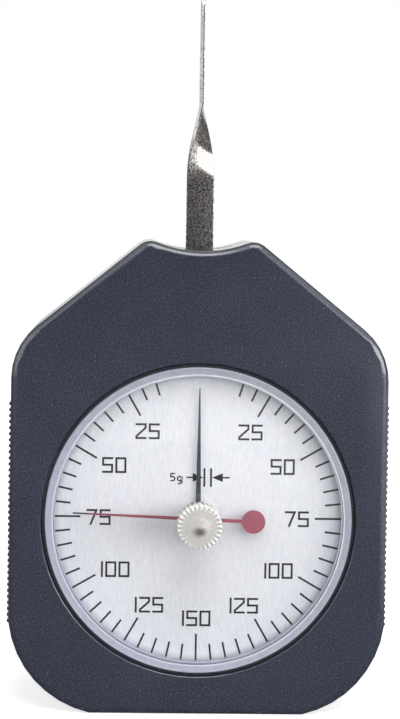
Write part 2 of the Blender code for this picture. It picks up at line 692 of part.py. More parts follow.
def build_dial():
    """Dial plate with two feet whose pins locate it in the movement's front plate."""
    loops = [circle((0, 0), DIAL_RADIUS, LENS_STEPS), circle((0, 0), DIAL_BORE_RADIUS, SMALL_STEPS)]
    dial = as_mesh(flat("dial_plate", loops, DIAL_FRONT, DIAL_REAR, DIAL_AXIS, SILVERED))
    sunk = (DIAL_FRONT + DIAL_REAR) / 2
    sections = [(DIAL_FOOT_RADIUS, sunk, PLATE_FRONT + FIT), (DIAL_PIN_RADIUS, PLATE_FRONT + FIT, PLATE_REAR)]
    for side in (1, -1):
        foot = rod("dial_foot", sections, SMALL_STEPS, DIAL_AXIS, SILVERED, (side * DIAL_FOOT_SPREAD, 0))
        combine(dial, foot, "UNION")


def plate_outline(centres):
    """Outline of a plate with a round lobe at each of its convex corners, in order."""
    loop = []
    count = len(centres)
    for index, centre in enumerate(centres):
        before = centres[index - 1]
        after = centres[(index + 1) % count]
        start = math.atan2(centre[1] - before[1], centre[0] - before[0]) - math.pi / 2
        end = math.atan2(after[1] - centre[1], after[0] - centre[0]) - math.pi / 2
        while end < start:
            end += 2 * math.pi
        loop += arc(centre, LOBE_RADIUS, start, end, LOBE_STEPS)
    return loop


def stop_pin_places():
    """Places beside the sector's edges where each edge meets its stop."""
    half = sector_half_angle() + FEELER_SWING + STOP_CLEARANCE + math.asin(STOP_PIN_RADIUS / STOP_PIN_REACH)
    return [(side * STOP_PIN_REACH * math.sin(half), PIVOT_HEIGHT - STOP_PIN_REACH * math.cos(half))
            for side in (1, -1)]


def stud_place(outer_radius, turns, width, height):
    """Place of the stud just past the outer end of a spiral that starts at +X."""
    x, y = polar(outer_radius, 2 * math.pi * turns + (STUD_RADIUS + SEAT) / outer_radius)
    return (width + x, height + y)


def build_plates():
    """Front and back plates with the holes that carry every bush, pin and screw."""
    pillar_hole = PILLAR_SPIGOT_RADIUS + FIT
    screw_hole = SMALL_SCREW_RADIUS + FIT
    bush_hole = BUSH_RADIUS + FIT
    lower_right, lower_left, upper_right, upper_left = MOVEMENT_SCREWS
    corners = [lower_right, upper_right, UPPER_PILLARS[0], UPPER_PILLARS[1], upper_left, lower_left]
    loops = [plate_outline(corners)]
    loops += [circle(at, pillar_hole, SMALL_STEPS) for at in UPPER_PILLARS + LOWER_PILLARS]
    loops += [circle(at, screw_hole, SMALL_STEPS) for at in MOVEMENT_SCREWS]
    loops += [circle((0, height), bush_hole, SMALL_STEPS) for height in (DIAL_HEIGHT, PIVOT_HEIGHT)]
    loops += [circle(at, STOP_PIN_SPIGOT_RADIUS + FIT, TINY_STEPS) for at in stop_pin_places()]
    loops += [circle((side * DIAL_FOOT_SPREAD, DIAL_HEIGHT), DIAL_PIN_RADIUS + FIT, SMALL_STEPS)
              for side in (1, -1)]
    flat("front_plate", loops, PLATE_FRONT, PLATE_REAR, CASE_FRAME, BRASS)
    corners = [LOWER_PILLARS[0], UPPER_PILLARS[0], UPPER_PILLARS[1], LOWER_PILLARS[1]]
    loops = [plate_outline(corners)]
    loops += [circle(at, screw_hole, SMALL_STEPS) for at in UPPER_PILLARS + LOWER_PILLARS]
    loops += [circle((0, height), bush_hole, SMALL_STEPS) for height in (DIAL_HEIGHT, PIVOT_HEIGHT)]
    studs = [stud_place(SPRING_OUTER_RADIUS, SPRING_TURNS, 0, PIVOT_HEIGHT),
             stud_place(HAIR_OUTER_RADIUS, HAIR_TURNS, 0, DIAL_HEIGHT)]
    loops += [circle(at, STUD_SPIGOT_RADIUS + FIT, TINY_STEPS) for at in studs]
    flat("rear_plate", loops, BACK_PLATE_FRONT, BACK_PLATE_REAR, CASE_FRAME, BRASS)


def build_pillars():
    """Four pillars, located in the front plate and tapped for screws at the back."""
    front = PLATE_REAR - FIT
    rear = BACK_PLATE_FRONT + FIT
    profile = [
        (0, PLATE_FRONT), (PILLAR_SPIGOT_RADIUS, PLATE_FRONT), (PILLAR_SPIGOT_RADIUS, front),
        (PILLAR_RADIUS, front), (PILLAR_RADIUS, rear), (SMALL_SCREW_RADIUS + FIT, rear),
        (SMALL_SCREW_RADIUS + FIT, rear + PILLAR_TAP_DEPTH), (0, rear + PILLAR_TAP_DEPTH),
    ]
    for index, at in enumerate(UPPER_PILLARS + LOWER_PILLARS):
        turned(f"pillar_{index + 1}", profile, SMALL_STEPS, CASE_FRAME, BRASS, at)


def bush(name, bore, plate_inner, plate_outer, parent):
    """Flanged bush in a plate, its flange on the plate's inner face."""
    if plate_inner < plate_outer:
        profile = [
            (BUSH_RADIUS, plate_outer), (BUSH_RADIUS, plate_inner - FIT),
            (BUSH_FLANGE_RADIUS, plate_inner - FIT),
            (BUSH_FLANGE_RADIUS, plate_inner - FIT - BUSH_FLANGE), (bore, plate_inner - FIT - BUSH_FLANGE),
            (bore, plate_outer),
        ]
    else:
        profile = [
            (BUSH_FLANGE_RADIUS, plate_inner + FIT + BUSH_FLANGE), (BUSH_FLANGE_RADIUS, plate_inner + FIT),
            (BUSH_RADIUS, plate_inner + FIT), (BUSH_RADIUS, plate_outer), (bore, plate_outer),
            (bore, plate_inner + FIT + BUSH_FLANGE),
        ]
    turned(name, profile, SMALL_STEPS, parent, BRASS, is_ring=True)


def build_bushes():
    """The four bushes that the lever shaft and the needle arbor turn in."""
    bush("lever_front_bush", LEVER_PIVOT_RADIUS + FIT, PLATE_REAR, PLATE_FRONT, FEELER_AXIS)
    bush("lever_rear_bush", LEVER_PIVOT_RADIUS + FIT, BACK_PLATE_FRONT, BACK_PLATE_REAR, FEELER_AXIS)
    bush("arbor_front_bush", ARBOR_FRONT_RADIUS + FIT, PLATE_REAR, PLATE_FRONT, DIAL_AXIS)
    bush("arbor_rear_bush", ARBOR_PIVOT_RADIUS + FIT, BACK_PLATE_FRONT, BACK_PLATE_REAR, DIAL_AXIS)


def build_pins():
    """Two stop pins for the sector, and the studs that hold the springs' outer ends."""
    for index, at in enumerate(stop_pin_places()):
        sections = [(STOP_PIN_SPIGOT_RADIUS, PLATE_FRONT, PLATE_REAR - FIT),
                    (STOP_PIN_RADIUS, PLATE_REAR - FIT, SECTOR_REAR - STOP_PIN_OVERHANG)]
        rod(f"stop_pin_{index + 1}", sections, SMALL_STEPS, CASE_FRAME, STEEL, at)
    studs = [("spring_stud", SPRING_OUTER_RADIUS, SPRING_TURNS, PIVOT_HEIGHT, SPRING_FRONT),
             ("hair_spring_stud", HAIR_OUTER_RADIUS, HAIR_TURNS, DIAL_HEIGHT, SPRING_FRONT)]
    for name, outer_radius, turns, height, front in studs:
        sections = [(STUD_RADIUS, front, BACK_PLATE_FRONT + FIT),
                    (STUD_SPIGOT_RADIUS, BACK_PLATE_FRONT + FIT, BACK_PLATE_REAR)]
        rod(name, sections, TINY_STEPS, CASE_FRAME, BRASS, stud_place(outer_radius, turns, 0, height))


def spiral(name, inner, outer, turns, thickness, steps_a_turn, front, rear, parent):
    """Flat spiral strip from the collet's side at +X out to its stud."""
    count = int(turns * steps_a_turn)
    outside = []
    inside = []
    for index in range(count + 1):
        angle = 2 * math.pi * turns * index / count
        radius = inner + (outer - inner) * index / count
        outside.append(polar(radius + thickness / 2, angle))
        inside.append(polar(radius - thickness / 2, angle))
    flat(name, [outside + inside[::-1]], front, rear, parent, SPRING_STEEL)


def build_springs():
    """The measuring spring round the lever shaft and the hairspring round the arbor."""
    spiral("measuring_spring", SPRING_INNER_RADIUS, SPRING_OUTER_RADIUS, SPRING_TURNS, SPRING_THICKNESS,
           SPRING_STEPS, SPRING_FRONT, SPRING_REAR, FEELER_AXIS)
    spiral("hair_spring", HAIR_INNER_RADIUS, HAIR_OUTER_RADIUS, HAIR_TURNS, HAIR_THICKNESS,
           HAIR_STEPS, SPRING_FRONT, SPRING_FRONT - HAIR_WIDTH, DIAL_AXIS)
    ring("measuring_spring_collet", SPRING_COLLET_RADIUS, LEVER_SHAFT_RADIUS + FIT, SPRING_FRONT,
         SPRING_REAR + FIT, SMALL_STEPS, FEELER_AXIS, BRASS)
    ring("hair_spring_collet", HAIR_COLLET_RADIUS, ARBOR_RADIUS + FIT, SPRING_FRONT,
         SPRING_FRONT - HAIR_WIDTH, SMALL_STEPS, DIAL_AXIS, BRASS)


def tooth(centre_angle, teeth, addendum_share, steps):
    """One involute tooth from its first root point to its last, round its own wheel."""
    pitch_radius = teeth * GEAR_MODULE / 2
    base_radius = pitch_radius * math.cos(PRESSURE_ANGLE)
    root_radius = pitch_radius - DEDENDUM_SHARE * GEAR_MODULE
    tip_radius = pitch_radius + addendum_share * GEAR_MODULE
    half_at_pitch = math.pi / teeth / 2 - TOOTH_PLAY / 2 / pitch_radius
    flank_start = max(root_radius, base_radius)
    flank = []
    for index in range(steps + 1):
        radius = flank_start + (tip_radius - flank_start) * index / steps
        roll = math.acos(min(1.0, base_radius / radius))
        spread = math.tan(PRESSURE_ANGLE) - PRESSURE_ANGLE - math.tan(roll) + roll
        flank.append((radius, half_at_pitch + spread))
    if root_radius < base_radius:
        flank.insert(0, (root_radius, flank[0][1]))
    rising = [(radius, centre_angle - half) for radius, half in flank]
    falling = [(radius, centre_angle + half) for radius, half in reversed(flank)]
    return [polar(radius, angle) for radius, angle in rising + falling]


def sector_tooth_count():
    """Odd count of teeth that stays in mesh over the feeler's whole swing."""
    return 2 * math.ceil(FEELER_SWING * SECTOR_FULL_TEETH / 2 / math.pi) + 3


def sector_half_angle():
    """Half the angle that the sector's rim spans."""
    return sector_tooth_count() * math.pi / SECTOR_FULL_TEETH + SECTOR_END_MARGIN / GEAR_DISTANCE


def build_gears():
    """Toothed sector on the lever shaft, its collar, and the pinion that it drives."""
    down = -math.pi / 2
    teeth = sector_tooth_count()
    pitch = 2 * math.pi / SECTOR_FULL_TEETH
    half = sector_half_angle()
    root_radius = (SECTOR_FULL_TEETH / 2 - DEDENDUM_SHARE) * GEAR_MODULE
    rim = []
    for index in range(teeth):
        middle = down + (index - (teeth - 1) / 2) * pitch
        rim += tooth(middle, SECTOR_FULL_TEETH, SECTOR_ADDENDUM_SHARE, SECTOR_FLANK_STEPS)
    left_corner = polar(root_radius, down - half)
    right_corner = polar(root_radius, down + half)
    eye = arc((0, 0), SECTOR_EYE_RADIUS, down + half, down - half + 2 * math.pi, SMALL_STEPS)
    window = []
    edges = [(root_radius - SECTOR_RIM, SECTOR_RIM_STEPS, 1), (SECTOR_WINDOW_INNER, SECTOR_EYE_STEPS, -1)]
    for radius, steps, sign in edges:
        reach = half - math.asin(SECTOR_ARM / radius)
        window += arc((0, 0), radius, down - sign * reach, down + sign * reach, steps)
    bore = circle((0, 0), LEVER_SHAFT_RADIUS + FIT, SMALL_STEPS)
    loops = [[left_corner, *rim, right_corner, *eye], window, bore]
    flat("sector_gear", loops, SECTOR_FRONT, SECTOR_REAR, FEELER_AXIS, BRASS)
    ring("sector_collar", SECTOR_COLLAR_RADIUS, LEVER_SHAFT_RADIUS + FIT,
         SECTOR_FRONT + FIT + SECTOR_COLLAR_LENGTH, SECTOR_FRONT + FIT, SMALL_STEPS, FEELER_AXIS, BRASS)
    leaves = []
    for index in range(PINION_TEETH):
        angle = math.pi / 2 + (index + 0.5) * 2 * math.pi / PINION_TEETH
        leaves += tooth(angle, PINION_TEETH, PINION_ADDENDUM_SHARE, PINION_FLANK_STEPS)
    loops = [leaves, circle((0, 0), ARBOR_RADIUS + FIT, SMALL_STEPS)]
    flat("pinion", loops, SECTOR_FRONT + PINION_OVERHANG, SECTOR_REAR - PINION_OVERHANG, DIAL_AXIS, STEEL)


def build_shafts():
    """Lever shaft and needle arbor, each turned down at its ends to run in the bushes."""
    shoulder_front = PLATE_REAR - FIT - BUSH_FLANGE - FIT
    shoulder_rear = BACK_PLATE_FRONT + FIT + BUSH_FLANGE + FIT
    sections = [(LEVER_PIVOT_RADIUS, PLATE_FRONT - FIT, shoulder_front),
                (LEVER_SHAFT_RADIUS, shoulder_front, shoulder_rear),
                (LEVER_PIVOT_RADIUS, shoulder_rear, BACK_PLATE_REAR + FIT)]
    rod("lever_shaft", sections, SMALL_STEPS, FEELER_AXIS, STEEL)
    tip = NEEDLE_FRONT + HAND_SPACE * ARBOR_TOP_SHARE
    sections = [(ARBOR_FRONT_RADIUS, tip, shoulder_front), (ARBOR_RADIUS, shoulder_front, shoulder_rear),
                (ARBOR_PIVOT_RADIUS, shoulder_rear, BACK_PLATE_REAR + FIT)]
    rod("needle_arbor", sections, SMALL_STEPS, DIAL_AXIS, STEEL)


def clamp_places():
    """Places of the two blade screws on the feeler's middle line, from the lever shaft."""
    return [(0, TONGUE_TOP * share) for share in (LOWER_CLAMP_SHARE, UPPER_CLAMP_SHARE)]


def build_feeler():
    """Twisted blade, the hub that carries it, the clamp plate and its two screws."""
    half = HUB_TONGUE_WIDTH / 2
    meet = math.asin(half / HUB_RADIUS)
    right = arc((0, 0), HUB_RADIUS, -math.pi / 2, math.pi / 2 - meet, SMALL_STEPS)[1:]
    outline = mirrored([(0, -HUB_RADIUS)] + right + [(half, TONGUE_TOP)])
    holes = [circle(at, BLADE_SCREW_RADIUS + FIT, TINY_STEPS) for at in clamp_places()]
    shaft_hole = circle((0, 0), LEVER_SHAFT_RADIUS + FIT, SMALL_STEPS)
    flat("feeler_hub", [outline, shaft_hole] + holes, HUB_FRONT, HUB_REAR, FEELER_AXIS, BRASS)
    edge = half - CLAMP_MARGIN
    foot = BLADE_FOOT + CLAMP_MARGIN
    top = TONGUE_TOP - CLAMP_MARGIN
    plate = [(-edge, foot), (edge, foot), (edge, top), (-edge, top)]
    flat("clamp_plate", [plate] + holes, CLAMP_FRONT, CLAMP_REAR, FEELER_AXIS, STEEL)
    blade = twisted_blade()
    bores = [(x, y, BLADE_SCREW_RADIUS + FIT, BLADE_THICKNESS, -BLADE_THICKNESS) for x, y in clamp_places()]
    cutter = cylinders("blade_bores", bores, TINY_STEPS)
    cutter.location = blade.location.copy()
    combine(blade, cutter, "DIFFERENCE")
    soften(blade)
    screws("blade_screw", clamp_places(), BLADE_SCREW_RADIUS, BLADE_SCREW_HEAD_RADIUS, BLADE_SCREW_HEAD,
           HUB_FRONT - BLADE_SCREW_SHY, CLAMP_REAR - FIT, FEELER_AXIS, TINY_STEPS)


def twisted_blade():
    """Flat strip that turns a quarter, left edge to the front, and narrows to its tip."""
    mesh = bpy.data.meshes.new("feeler_blade")
    strip = bmesh.new()
    bmesh.ops.create_cube(strip, size=1)
    bmesh.ops.scale(strip, verts=strip.verts, vec=(BLADE_WIDTH, BLADE_LENGTH - BLADE_FOOT, BLADE_THICKNESS))
    bmesh.ops.translate(strip, verts=strip.verts, vec=(0, (BLADE_LENGTH + BLADE_FOOT) / 2, 0))
    long_edges = [edge for edge in strip.edges if edge.verts[0].co.y != edge.verts[1].co.y]
    bmesh.ops.bevel(strip, geom=long_edges, offset=BLADE_EDGE, segments=1, affect="EDGES")
    twist = BLADE_TWIST_TOP - BLADE_FLAT_TOP
    cuts = [BLADE_FLAT_TOP + twist * index / TWIST_STEPS for index in range(TWIST_STEPS + 1)]
    cuts.append(BLADE_LENGTH - BLADE_TIP_TAPER)
    for height in cuts:
        whole = strip.verts[:] + strip.edges[:] + strip.faces[:]
        bmesh.ops.bisect_plane(strip, geom=whole, plane_co=(0, height, 0), plane_no=(0, 1, 0), dist=WELD)
    for vertex in strip.verts:
        height = vertex.co.y
        rise = min(max((height - BLADE_FLAT_TOP) / twist, 0.0), 1.0)
        angle = math.pi / 2 * rise * rise * (3 - 2 * rise)
        taper = min(max((height - BLADE_FLAT_TOP) / (BLADE_LENGTH - BLADE_FLAT_TOP), 0.0), 1.0)
        width = 1 - (1 - BLADE_TIP_DEPTH / BLADE_WIDTH) * taper
        if height > BLADE_LENGTH - BLADE_TIP_TAPER / 2:
            width *= 1 - BLADE_TIP_TAPER / BLADE_TIP_DEPTH
        x = vertex.co.x * width
        z = vertex.co.z
        vertex.co.x = x * math.cos(angle) + z * math.sin(angle)
        vertex.co.z = z * math.cos(angle) - x * math.sin(angle)
    bmesh.ops.recalc_face_normals(strip, faces=strip.faces)
    strip.to_mesh(mesh)
    strip.free()
    blade = bpy.data.objects.new("feeler_blade", mesh)
    return place(blade, FEELER_AXIS, 0, 0, BLADE_MIDDLE, STEEL)


def build_needle():
    """Black needle on its hub, with the pin that pushes the drag hand."""
    root = NEEDLE_ROOT_WIDTH / 2
    meet = math.asin(root / NEEDLE_EYE_RADIUS)
    eye = arc((0, 0), NEEDLE_EYE_RADIUS, -math.pi / 2, math.pi / 2 - meet, TINY_STEPS)[1:]
    length = LENS_INNER_RADIUS - NEEDLE_TIP_GAP
    outline = mirrored([(0, -NEEDLE_EYE_RADIUS)] + eye + [(NEEDLE_TIP_WIDTH / 2, length)])
    bore = circle((0, 0), NEEDLE_HUB_RADIUS + FIT, SMALL_STEPS)
    flat("needle", [outline, bore], NEEDLE_FRONT, NEEDLE_REAR, DIAL_AXIS, BLACK_ENAMEL)
    hub_front = NEEDLE_FRONT + HAND_SPACE * HUB_TOP_SHARE
    flange_front = NEEDLE_REAR - FIT
    flange_rear = DIAL_FRONT + SEAT
    profile = [
        (NEEDLE_HUB_RADIUS, hub_front), (NEEDLE_HUB_RADIUS, flange_front),
        (NEEDLE_FLANGE_RADIUS, flange_front),
        (NEEDLE_FLANGE_RADIUS, flange_rear), (ARBOR_FRONT_RADIUS + FIT, flange_rear),
        (ARBOR_FRONT_RADIUS + FIT, hub_front),
    ]
    turned("needle_hub", profile, SMALL_STEPS, DIAL_AXIS, BRASS, is_ring=True)
    pin_rear = NEEDLE_FRONT + FIT / 2
    pin_front = NEEDLE_FRONT + HAND_SPACE * DRIVE_PIN_SHARE
    rod("drive_pin", [(DRIVE_PIN_RADIUS, pin_front, pin_rear)], TINY_STEPS, DIAL_AXIS, BLACK_ENAMEL,
        (0, DRIVE_PIN_REACH))


def build_drag_hand():
    """Red drag hand with its counterweight, riveted under the lens to the knob's stem."""
    root = HAND_ROOT_WIDTH / 2
    eye_meet = math.asin(root / HAND_EYE_RADIUS)
    weight_meet = math.asin(root / WEIGHT_RADIUS)
    weight = arc((0, -WEIGHT_REACH), WEIGHT_RADIUS, -math.pi / 2, math.pi / 2 - weight_meet, SMALL_STEPS)[1:]
    eye = arc((0, 0), HAND_EYE_RADIUS, eye_meet - math.pi / 2, math.pi / 2 - eye_meet, SMALL_STEPS)
    length = LENS_INNER_RADIUS - HAND_TIP_GAP
    right = [(0, -WEIGHT_REACH - WEIGHT_RADIUS)] + weight + eye + [(HAND_TIP_WIDTH / 2, length)]
    bore = circle((0, 0), STEM_RADIUS + FIT, SMALL_STEPS)
    hand = flat("drag_hand", [mirrored(right), bore], HAND_FRONT, HAND_REAR, DIAL_AXIS, RED_ENAMEL)
    hand.rotation_euler = (0, 0, HAND_REST)
    ring("drag_hand_boss", HAND_BOSS_RADIUS, STEM_RADIUS + FIT, LENS_REAR - 2 * FIT, HAND_FRONT + FIT,
         SMALL_STEPS, DIAL_AXIS, BRASS)


def build_knob():
    """Knurled reset knob, its stem through the lens and the friction washer under it."""
    washer_rear = CASE_FRONT + FIT
    neck_rear = washer_rear + WASHER_THICKNESS + FIT
    head_rear = neck_rear + KNOB_NECK_LENGTH
    head_front = head_rear + KNOB_HEAD_LENGTH
    flutes = []
    for index in range(2 * KNOB_FLUTES):
        radius = KNOB_HEAD_RADIUS - (index % 2) * KNOB_FLUTE_DEPTH
        flutes.append(polar(radius, math.pi * index / KNOB_FLUTES))
    bore_radius = STEM_RADIUS + FIT
    knob = as_mesh(flat("reset_knob", [flutes], head_front, head_rear, DIAL_AXIS, NICKEL))
    round_edges(knob, KNOB_HEAD_LENGTH / 2, KNOB_BEVEL, 1)
    overlap = head_rear + KNOB_HEAD_LENGTH / 2
    neck = rod("knob_neck", [(KNOB_NECK_RADIUS, overlap, neck_rear)], KNOB_STEPS, DIAL_AXIS, NICKEL)
    combine(knob, neck, "UNION")
    bore = [(bore_radius, head_front + OVERRUN, neck_rear - OVERRUN)]
    combine(knob, rod("knob_bore", bore, SMALL_STEPS, DIAL_AXIS, NICKEL), "DIFFERENCE")
    soften(knob, KNOB_SHARP_ANGLE)
    ring("friction_washer", WASHER_RADIUS, bore_radius, washer_rear + WASHER_THICKNESS, washer_rear,
         KNOB_STEPS, DIAL_AXIS, STEEL)
    stem_rear = HAND_REAR - HAND_SPACE * STEM_FOOT_SHARE
    rod("knob_stem", [(STEM_RADIUS, head_front - KNOB_DIMPLE, stem_rear)], SMALL_STEPS, DIAL_AXIS, STEEL)


def build_fasteners():
    """Screws of the cover, of the movement and of its pillars."""
    screws("cover_screw", COVER_SCREWS, COVER_SCREW_RADIUS, COVER_SCREW_HEAD_RADIUS, COVER_SCREW_HEAD,
           CASE_RIM + COVER_SCREW_LENGTH - SEAT, CASE_REAR + COVER_SCREW_RECESS + COVER_SCREW_HEAD,
           CASE_FRAME, SMALL_STEPS)
    screws("movement_screw", MOVEMENT_SCREWS, SMALL_SCREW_RADIUS, SMALL_SCREW_HEAD_RADIUS, SMALL_SCREW_HEAD,
           PLATE_FRONT + BOSS_HOLE_DEPTH - SMALL_SCREW_SHY, PLATE_REAR - FIT, CASE_FRAME, SMALL_STEPS)
    screws("pillar_screw", UPPER_PILLARS + LOWER_PILLARS, SMALL_SCREW_RADIUS, SMALL_SCREW_HEAD_RADIUS,
           SMALL_SCREW_HEAD, BACK_PLATE_FRONT + PILLAR_TAP_DEPTH - SMALL_SCREW_SHY, BACK_PLATE_REAR - FIT,
           CASE_FRAME, SMALL_STEPS)


build_front_case()
build_rear_cover()
build_lens()
build_dial()
build_plates()
build_pillars()
build_bushes()
build_pins()
build_springs()
build_gears()
build_shafts()
build_feeler()
build_needle()
build_drag_hand()
build_knob()
build_fasteners()
bpy.context.view_layer.update()
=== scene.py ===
"""Pocket dial tension gauge: finishes, dial print and finer lens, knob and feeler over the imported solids."""
import math

import bmesh
import bpy
from mathutils import Matrix, Vector


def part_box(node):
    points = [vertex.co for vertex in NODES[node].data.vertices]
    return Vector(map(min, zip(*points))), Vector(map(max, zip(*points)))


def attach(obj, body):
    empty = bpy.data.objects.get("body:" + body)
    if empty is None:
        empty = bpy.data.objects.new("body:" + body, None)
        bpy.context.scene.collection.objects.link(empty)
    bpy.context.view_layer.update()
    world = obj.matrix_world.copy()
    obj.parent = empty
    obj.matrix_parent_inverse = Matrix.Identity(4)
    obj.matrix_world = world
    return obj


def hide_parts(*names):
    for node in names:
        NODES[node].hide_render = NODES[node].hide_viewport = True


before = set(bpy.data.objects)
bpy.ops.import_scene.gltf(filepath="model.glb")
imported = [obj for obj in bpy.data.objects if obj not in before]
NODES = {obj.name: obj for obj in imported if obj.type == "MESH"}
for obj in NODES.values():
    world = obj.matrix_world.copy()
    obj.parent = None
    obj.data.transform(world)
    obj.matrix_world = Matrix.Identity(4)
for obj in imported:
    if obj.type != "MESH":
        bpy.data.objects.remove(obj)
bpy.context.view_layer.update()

MM = 0.001

# Places that the solids give
LENS_LOW, LENS_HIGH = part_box("crystal")
DIAL_CENTRE_Z = (LENS_LOW.z + LENS_HIGH.z) / 2
LENS_RADIUS = (LENS_HIGH.x - LENS_LOW.x) / 2
LENS_FRONT = LENS_LOW.y
LENS_REAR = LENS_HIGH.y
DIAL_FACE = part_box("dial_plate")[0].y
BLADE_LOW, BLADE_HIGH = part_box("feeler_blade")
KNOB_LOW, KNOB_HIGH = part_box("reset_knob")

# Finishing of the solids and the new pieces, with angles in degrees
WELD_GAP = 0.001 * MM
SOLID_SHARP_ANGLE = 50
PIECE_SHARP_ANGLE = 35

# Clear lens
LENS_DISC = 1.2 * MM
LENS_WALL = 1.35 * MM
LENS_EDGE_ROUND = 0.2 * MM
LENS_INNER_ROUND = 0.25 * MM
# The line round the front, over the wall's inner corner, painted pale as a painted highlight
LENS_HIGHLIGHT_LINE = 0.22 * MM
# Faces of the outer round that lie this near the front belong to its rim
LENS_RIM_DEPTH = LENS_EDGE_ROUND / 10
LENS_BORE = 1.3 * MM
LENS_STEPS = 192
ROUND_STEPS = 5
# Share of the lamps' light that satin acrylic lets straight through to the dial
SATIN_PASSES = 0.7

# Reset knob
KNOB_HEAD_LENGTH = 3.0 * MM
KNOB_NECK_RADIUS = 2.5 * MM
KNOB_FLUTES = 28
KNOB_FLUTE_DEPTH = 0.26 * MM
KNOB_EDGE = 0.12 * MM
KNOB_FRONT_EDGE = KNOB_EDGE / 3
KNOB_GROOVE_DEPTH = 0.14 * MM
# The higher this is, the narrower each notch in the front
KNOB_NOTCH_POWER = 3
KNOB_GROOVE_START = 2.6 * MM
KNOB_DOME_RADIUS = 1.7 * MM
KNOB_DOME_CURVE = 8.0 * MM
KNOB_BORE = 1.3 * MM
KNOB_BORE_EYE = KNOB_BORE / 4
KNOB_BORE_DEPTH = 5.0 * MM
KNOB_STEPS_A_FLUTE = 10
KNOB_GROOVE_RINGS = 4
KNOB_DOME_RINGS = 8
KNOB_SHARP_ANGLE = 50
# The darker, browner spot: how far below the middle, how wide, and how flat
KNOB_SPOT_DROP = 0.75 * MM
KNOB_SPOT_REACH = 1.3 * MM
KNOB_SPOT_SQUASH = 1.4

# Feeler blade
BLADE_WIDTH = 4.7 * MM
BLADE_THICKNESS = 0.7 * MM
BLADE_TIP_WIDTH = 3.2 * MM
BLADE_EDGE_ROUND = 0.09 * MM
# A sheared edge is torn past this distance from the middle plane, and burnished before it, where it is painted
# brighter as a painted sheen
BLADE_TORN_FROM = 0.08 * MM
BLADE_MIDDLE_Y = 1.45 * MM
BLADE_TWIST_START = 88.3 * MM
BLADE_TWIST_END = 101.0 * MM
# 0 is an even twist and 1 one that starts and ends softly
BLADE_TWIST_EASE = 0.12
BLADE_TIP_TAPER = 0.9 * MM
BLADE_RING_GAP = 0.4 * MM
BLADE_CORNER_STEPS = 3

# The drag hand's reach, and the dial's radius as its painted edge shade takes it
DRAG_HAND_REACH = 20 * MM
DIAL_SHADE_RADIUS = 25 * MM

# Dial print, radii and places from the dial's centre
PRINT_THICKNESS = 0.02 * MM
TICK_WIDTH = 0.32 * MM
LONG_TICK_START = 19.5 * MM
SHORT_TICK_START = 21.3 * MM
TICK_END = 23.95 * MM
# Where the marks stand, in degrees from the top
TICK_STEP = 6
FIRST_TICK = 18
LONG_TICK_STEP = 30
DIGIT_HEIGHT = 2.63 * MM
DIGIT_WIDTH = 1.83 * MM
DIGIT_STROKE = 0.34 * MM
DIGIT_GAP = 0.37 * MM
# Each number and its place, as x and z in millimetres; all but the last stand on both sides
NUMBERS = [
    ("25", 8.54, 14.3), ("50", 14.0, 8.6), ("75", 16.5, -0.1), ("100", 13.6, -8.8), ("125", 7.9, -14.7),
]
LAST_NUMBER = ("150", 0.0, -16.9)

# The sign for one division, as (x, z) in millimetres: two bars, two arrows, and a small 5 and g as strokes
SIGN_SHAPES = [
    [(0.84, 5.15), (1.16, 5.15), (1.16, 8.25), (0.84, 8.25)],
    [(1.94, 5.15), (2.26, 5.15), (2.26, 8.25), (1.94, 8.25)],
    [(-2.0, 6.57), (-0.95, 6.57), (-0.95, 5.98), (0.83, 6.7), (-0.95, 7.42), (-0.95, 6.83), (-2.0, 6.83)],
    [(5.2, 6.83), (4.05, 6.83), (4.05, 7.42), (2.27, 6.7), (4.05, 5.98), (4.05, 6.57), (5.2, 6.57)],
]
SIGN_STROKE = 0.22 * MM
SIGN_LINES = [
    [(-3.9, 7.3), (-4.55, 7.3), (-4.6, 6.75), (-4.2, 6.8), (-3.95, 6.6), (-3.95, 6.3), (-4.2, 6.1),
     (-4.65, 6.15)],
    [(-2.85, 6.75), (-3.15, 6.85), (-3.45, 6.65), (-3.45, 6.3), (-3.15, 6.1), (-2.85, 6.2), (-2.85, 6.75)],
    [(-2.72, 6.85), (-2.72, 5.85), (-2.95, 5.6), (-3.4, 5.65)],
]

# Studio: half the floor's width in metres, its glow's strength, and the place that the lamps face
FLOOR_HALF = 3.0
FLOOR_GLOW = 0.7
LAMP_TARGET = (0, 0, 50 * MM)
# Each lamp's name, place, width and height in metres, and power in watts
LAMPS = [
    ("key_light", (0.62, -0.46, 0.2), 0.66, 0.3, 3.35),
    ("fill_light", (-0.6, -0.5, 0.25), 0.6, 0.6, 1.0),
    ("top_light", (0.12, -0.36, 0.6), 0.45, 0.45, 2.7),
]

# Camera: lens and sensor in millimetres, place in metres, angles in degrees
CAMERA_SENSOR = 36
CAMERA_LENS = 83.718
CAMERA_SHIFT = (0.047, -0.12)
CAMERA_CLIP = (0.01, 20)
CAMERA_PLACE = (-0.01146, -0.28431, 0.08207)
CAMERA_PITCH = -1.9652
CAMERA_YAW = -1.172
CAMERA_ROLL = 0.85

# Each digit as strokes over a unit box, from the bottom left; a digit is closed when it ends where it began
DIGITS = {
    "0": [(0, 0), (1, 0), (1, 1), (0, 1), (0, 0)],
    "1": [(0, 0), (0, 1)],
    "2": [(0, 1), (1, 1), (1, 0.74), (0, 0.14), (0, 0), (1, 0)],
    "5": [(1, 1), (0, 1), (0, 0.52), (1, 0.52), (1, 0), (0, 0)],
    "7": [(0, 1), (1, 1), (0.38, 0)],
}


def linear(hex_colour):
    """Turn an sRGB hex colour into linear values."""
    values = []
    for start in (0, 2, 4):
        value = int(hex_colour[start:start + 2], 16) / 255
        values.append(value / 12.92 if value <= 0.04045 else ((value + 0.055) / 1.055) ** 2.4)
    return (*values, 1.0)


def join(tree, node, links):
    """Link a node's inputs, by name or number, from other nodes' outputs."""
    for socket, (source, output) in links.items():
        tree.links.new(source.outputs[output], node.inputs[socket])


